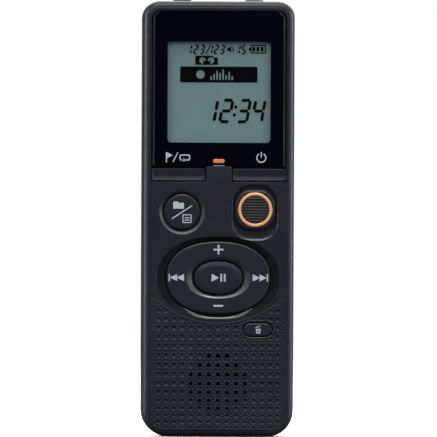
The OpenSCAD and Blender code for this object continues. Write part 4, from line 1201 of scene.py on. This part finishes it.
def build_slider():
    """Knob with its bright ring and ribbed grip."""
    x, z = KNOB.x, KNOB.z
    top = node_box("record_knob")[0].y
    bm = bmesh.new()
    start, end = loft(bm, rounded(x, z, KNOB_W, KNOB_W, KNOB_R),
                      [(0.1, FACE + 0.9), (0, FACE + 0.8), (0, top + 0.5)] + crown(0.5, top, steps=6)[1:])
    fill(bm, start)
    seat = loft(bm, round_outline(x, z, 4.27), [(-0.05, top), (0, top + 0.05), (0, FACE - 0.1)])
    fill(bm, end, seat[0])
    fill(bm, seat[1])
    finish_mesh("slider_knob", bm, key_plastic, "record_slider", ("record_knob",))

    bm = bmesh.new()
    band, width, base = round_outline(x, z, 4.24, 96), 0.74, FACE - 0.12
    edge = crown(0.16, node_box("record_ring")[0].y)
    section = [(0, base)] + edge + [(width - i, y) for i, y in reversed(edge)] + [(width, base)]
    join(bm, [ring(bm, band(i), y) for i, y in section], True)
    finish_mesh("slider_ring", bm, copper_ring, "record_slider", ("record_ring",))

    bm = bmesh.new()
    floor = FACE - 0.3
    solid(bm, round_outline(x, z, GRIP_R), [(0, base), (0, floor)])
    foot, peak = floor + 0.02, node_box("record_grip")[0].y
    half_turn = [math.pi * j / 8 for j in range(9)]
    profile = [(math.cos(t) * 0.24, foot - (floor - peak) * math.sin(t)) for t in half_turn]
    for k in range(-4, 5):
        half = math.sqrt(GRIP_R * GRIP_R - (GRIP_PITCH * k) ** 2) - 0.1
        stations = [(-half, 0.15), (-half + 0.08, 0.7), (-half + 0.22, 1),
                    (half - 0.22, 1), (half - 0.08, 0.7), (half, 0.15)]
        capped(bm, [ring_at(bm, [(x + dx, foot + (y - foot) * s, z + GRIP_PITCH * k + dz * (0.6 + 0.4 * s))
                                 for dz, y in profile]) for dx, s in stations])
    finish_mesh("slider_grip", bm, grip_plastic, "record_slider", ("record_grip",))


def build_keys():
    folder = round_outline(FOLDER.x, FOLDER.z, FOLDER_R, 80)
    key("folder_key_cap", folder, KEY_TOP, 0.35, "folder_key", "folder_button")
    key("erase_key_cap", erase_outline(0), ERASE_TOP, 0.3, "erase_key", "erase_button")
    bar_key("index_key_cap", -1, "index_key", "index_button")
    bar_key("power_key_cap", 1, "power_key", "power_button")
    build_rocker()
    build_slider()


build_keys()


# ------------------------------------------------ lamp lens and socket collars

def build_lens():
    bm = bmesh.new()
    solid(bm, rounded(LAMP.x, LAMP.z, 2.95, 1.02, 0.48),
          [(0, FACE + 2.0), (0, FACE + 0.2)] + crown(0.18, FACE + 0.02))
    finish_mesh("lamp_window", bm, lamp_lens, "housing", ("indicator_lens",))


def build_collar(name, node, material):
    """A turned collar round a socket, with a rounded mouth."""
    low, high = node_box(node)
    centre = (low + high) / 2
    bm = bmesh.new()
    outer_r, bore_r, steps = 2.25, 1.8, 64
    top = high.z
    section = [(outer_r, low.z), (outer_r, top - 0.15), (outer_r - 0.05, top - 0.05), (outer_r - 0.15, top),
               (bore_r + 0.12, top), (bore_r + 0.03, top - 0.05), (bore_r, top - 0.14), (bore_r, low.z)]
    angles = [math.tau * k / steps for k in range(steps)]
    join(bm, [ring_at(bm, [(centre.x + r * math.cos(a), centre.y + r * math.sin(a), z) for a in angles])
              for r, z in section], True)
    finish_mesh(name, bm, material, "housing", (node,))


build_lens()
build_collar("mic_collar", "mic_jack_collar", mic_collar_plastic)
build_collar("ear_collar", "earphone_jack_collar", ear_collar_plastic)


# ------------------------------------------------ finishes of the CAD nodes that stay

FINISHES = [
    (white_plastic, "indicator_led lcd_reflector lcd_holder board_components record_carriage"),
    (grey_rubber, "keypad_membrane index_boot power_boot folder_boot nav_rocker play_boot erase_boot"),
    (black_rubber, "zebra_connector microphone_boot speaker_gasket"),
    (chip_plastic, "processor_chip memory_chip usb_tongue record_switch_lever"),
    (steel, "record_switch_body speaker_frame speaker_magnet case_screws board_screws hinge_pin"),
    (nickel, "microphone_capsule battery_spring_left battery_spring_right battery_terminals battery_link"),
    (gold, "switch_domes speaker_contacts"), (inner_plastic, "mic_jack earphone_jack"),
    (solder_mask, "main_board"), (dull_nickel, "usb_socket"), (cone_paper, "speaker_cone"),
    (speaker_cloth, "speaker_mesh"), (cell_jacket_up, "battery_left"), (cell_jacket_down, "battery_right"),
    (label_film, "rear_label"),
]
for finish, names in FINISHES:
    for node_name in names.split():
        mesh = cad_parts[node_name].data
        mesh.materials.clear()
        mesh.materials.append(finish)


# ------------------------------------------------ studio

MIDDLE = (0, 0, 0.05)                               # what the lights aim at, in metres


def softbox(name, spot, size, power):
    """A white area light turned to the object; its place and its size are in metres."""
    data = bpy.data.lights.new(name, "AREA")
    data.shape = "RECTANGLE"
    data.size, data.size_y = size
    data.energy = power
    lamp = place(name, data)
    lamp.location = spot
    lamp.rotation_mode = "QUATERNION"
    lamp.rotation_quaternion = (Vector(MIDDLE) - Vector(spot)).to_track_quat("-Z", "Y")
    lamp.visible_camera = False


def build_floor():
    """White paper that fades to pure white away from the object, and that throws only a little light back."""
    bm = bmesh.new()
    bmesh.ops.create_grid(bm, x_segments=1, y_segments=1, size=6)
    mesh = bpy.data.meshes.new("floor")
    bm.to_mesh(mesh)
    bm.free()
    floor = place("floor", mesh)
    floor.location = (0, 0, -0.00002)
    material, tree, principled = shader("floor_paper", (0.9, 0.9, 0.9), 0.9, specular=0.1)
    link = tree.links.new
    paper = tint(tree, principled, noise(tree, 300, 3), (0.89, 0.89, 0.89), (0.91, 0.91, 0.91))
    length, seen = add_node(tree, "VectorMath"), add_node(tree, "Math")
    length.operation, seen.operation = "LENGTH", "MULTIPLY"
    is_seen = add_node(tree, "LightPath").outputs["Is Camera Ray"]
    link(add_node(tree, "TexCoord").outputs["Object"], length.inputs[0])
    link(remapped(tree, length.outputs["Value"], 0, 1, 0.12, 0.6), seen.inputs[0])
    link(is_seen, seen.inputs[1])
    link(seen.outputs["Value"], principled.inputs["Emission Strength"])
    principled.inputs["Emission Color"].default_value = (1, 1, 1, 1)
    mix_tints(tree, principled, is_seen, (0.1, 0.1, 0.105), paper)
    mesh.materials.append(material)


def build_world():
    """White to the camera, and a dimmer grey to everything that it lights."""
    world = bpy.data.worlds.new("studio")
    bpy.context.scene.world = world
    world.use_nodes = True
    tree = world.node_tree
    tree.nodes.clear()
    mix, output = add_node(tree, "MixShader"), add_node(tree, "OutputWorld")
    tree.links.new(add_node(tree, "LightPath").outputs["Is Camera Ray"], mix.inputs["Fac"])
    for k, colour, strength in ((1, (0.9, 0.93, 1, 1), 0.07), (2, (1, 1, 1, 1), 1)):
        background = add_node(tree, "Background", Color=colour, Strength=strength)
        tree.links.new(background.outputs["Background"], mix.inputs[k])
    tree.links.new(mix.outputs["Shader"], output.inputs["Surface"])


def build_camera():
    """A long lens at the object's mid height, a little to its left and with a slight roll."""
    distance, view_height = 2.4, 0.10845
    azimuth, roll = math.radians(-2.3), math.radians(0.26)
    data = bpy.data.cameras.new("camera")
    data.sensor_width = 36
    data.lens = 36 * distance / view_height
    data.clip_end = 50
    camera = place("camera", data)
    target = Vector((0.0003, 0, 0.05405))
    back = Vector((math.sin(azimuth), -math.cos(azimuth), 0))
    camera.location = target + back * distance
    camera.rotation_mode = "QUATERNION"
    aim = (-back).to_track_quat("-Z", "Y").to_matrix()
    camera.rotation_quaternion = (aim @ Matrix.Rotation(roll, 3, "Z")).to_quaternion()
    bpy.context.scene.camera = camera


def build_studio():
    build_floor()
    build_world()
    build_camera()
    softbox("top_light", (0, -0.15, 0.8), (0.7, 0.35), 9)
    softbox("front_fill", (0, -1.0, 0.95), (2.0, 1.0), 18)
    for side, power in ((-1, 1.1), (1, 1.65)):
        softbox("side_box", (side * 0.57, -0.35, 0.1), (0.1, 0.5), power)
        softbox("edge_strip", (side * 0.6, 0.1, 0.08), (0.14, 0.7), 5.5)
    softbox("back_light", (0.1, 0.9, 0.7), (1.0, 0.6), 9)
    bpy.context.scene.view_settings.view_transform = "Standard"


build_studio()
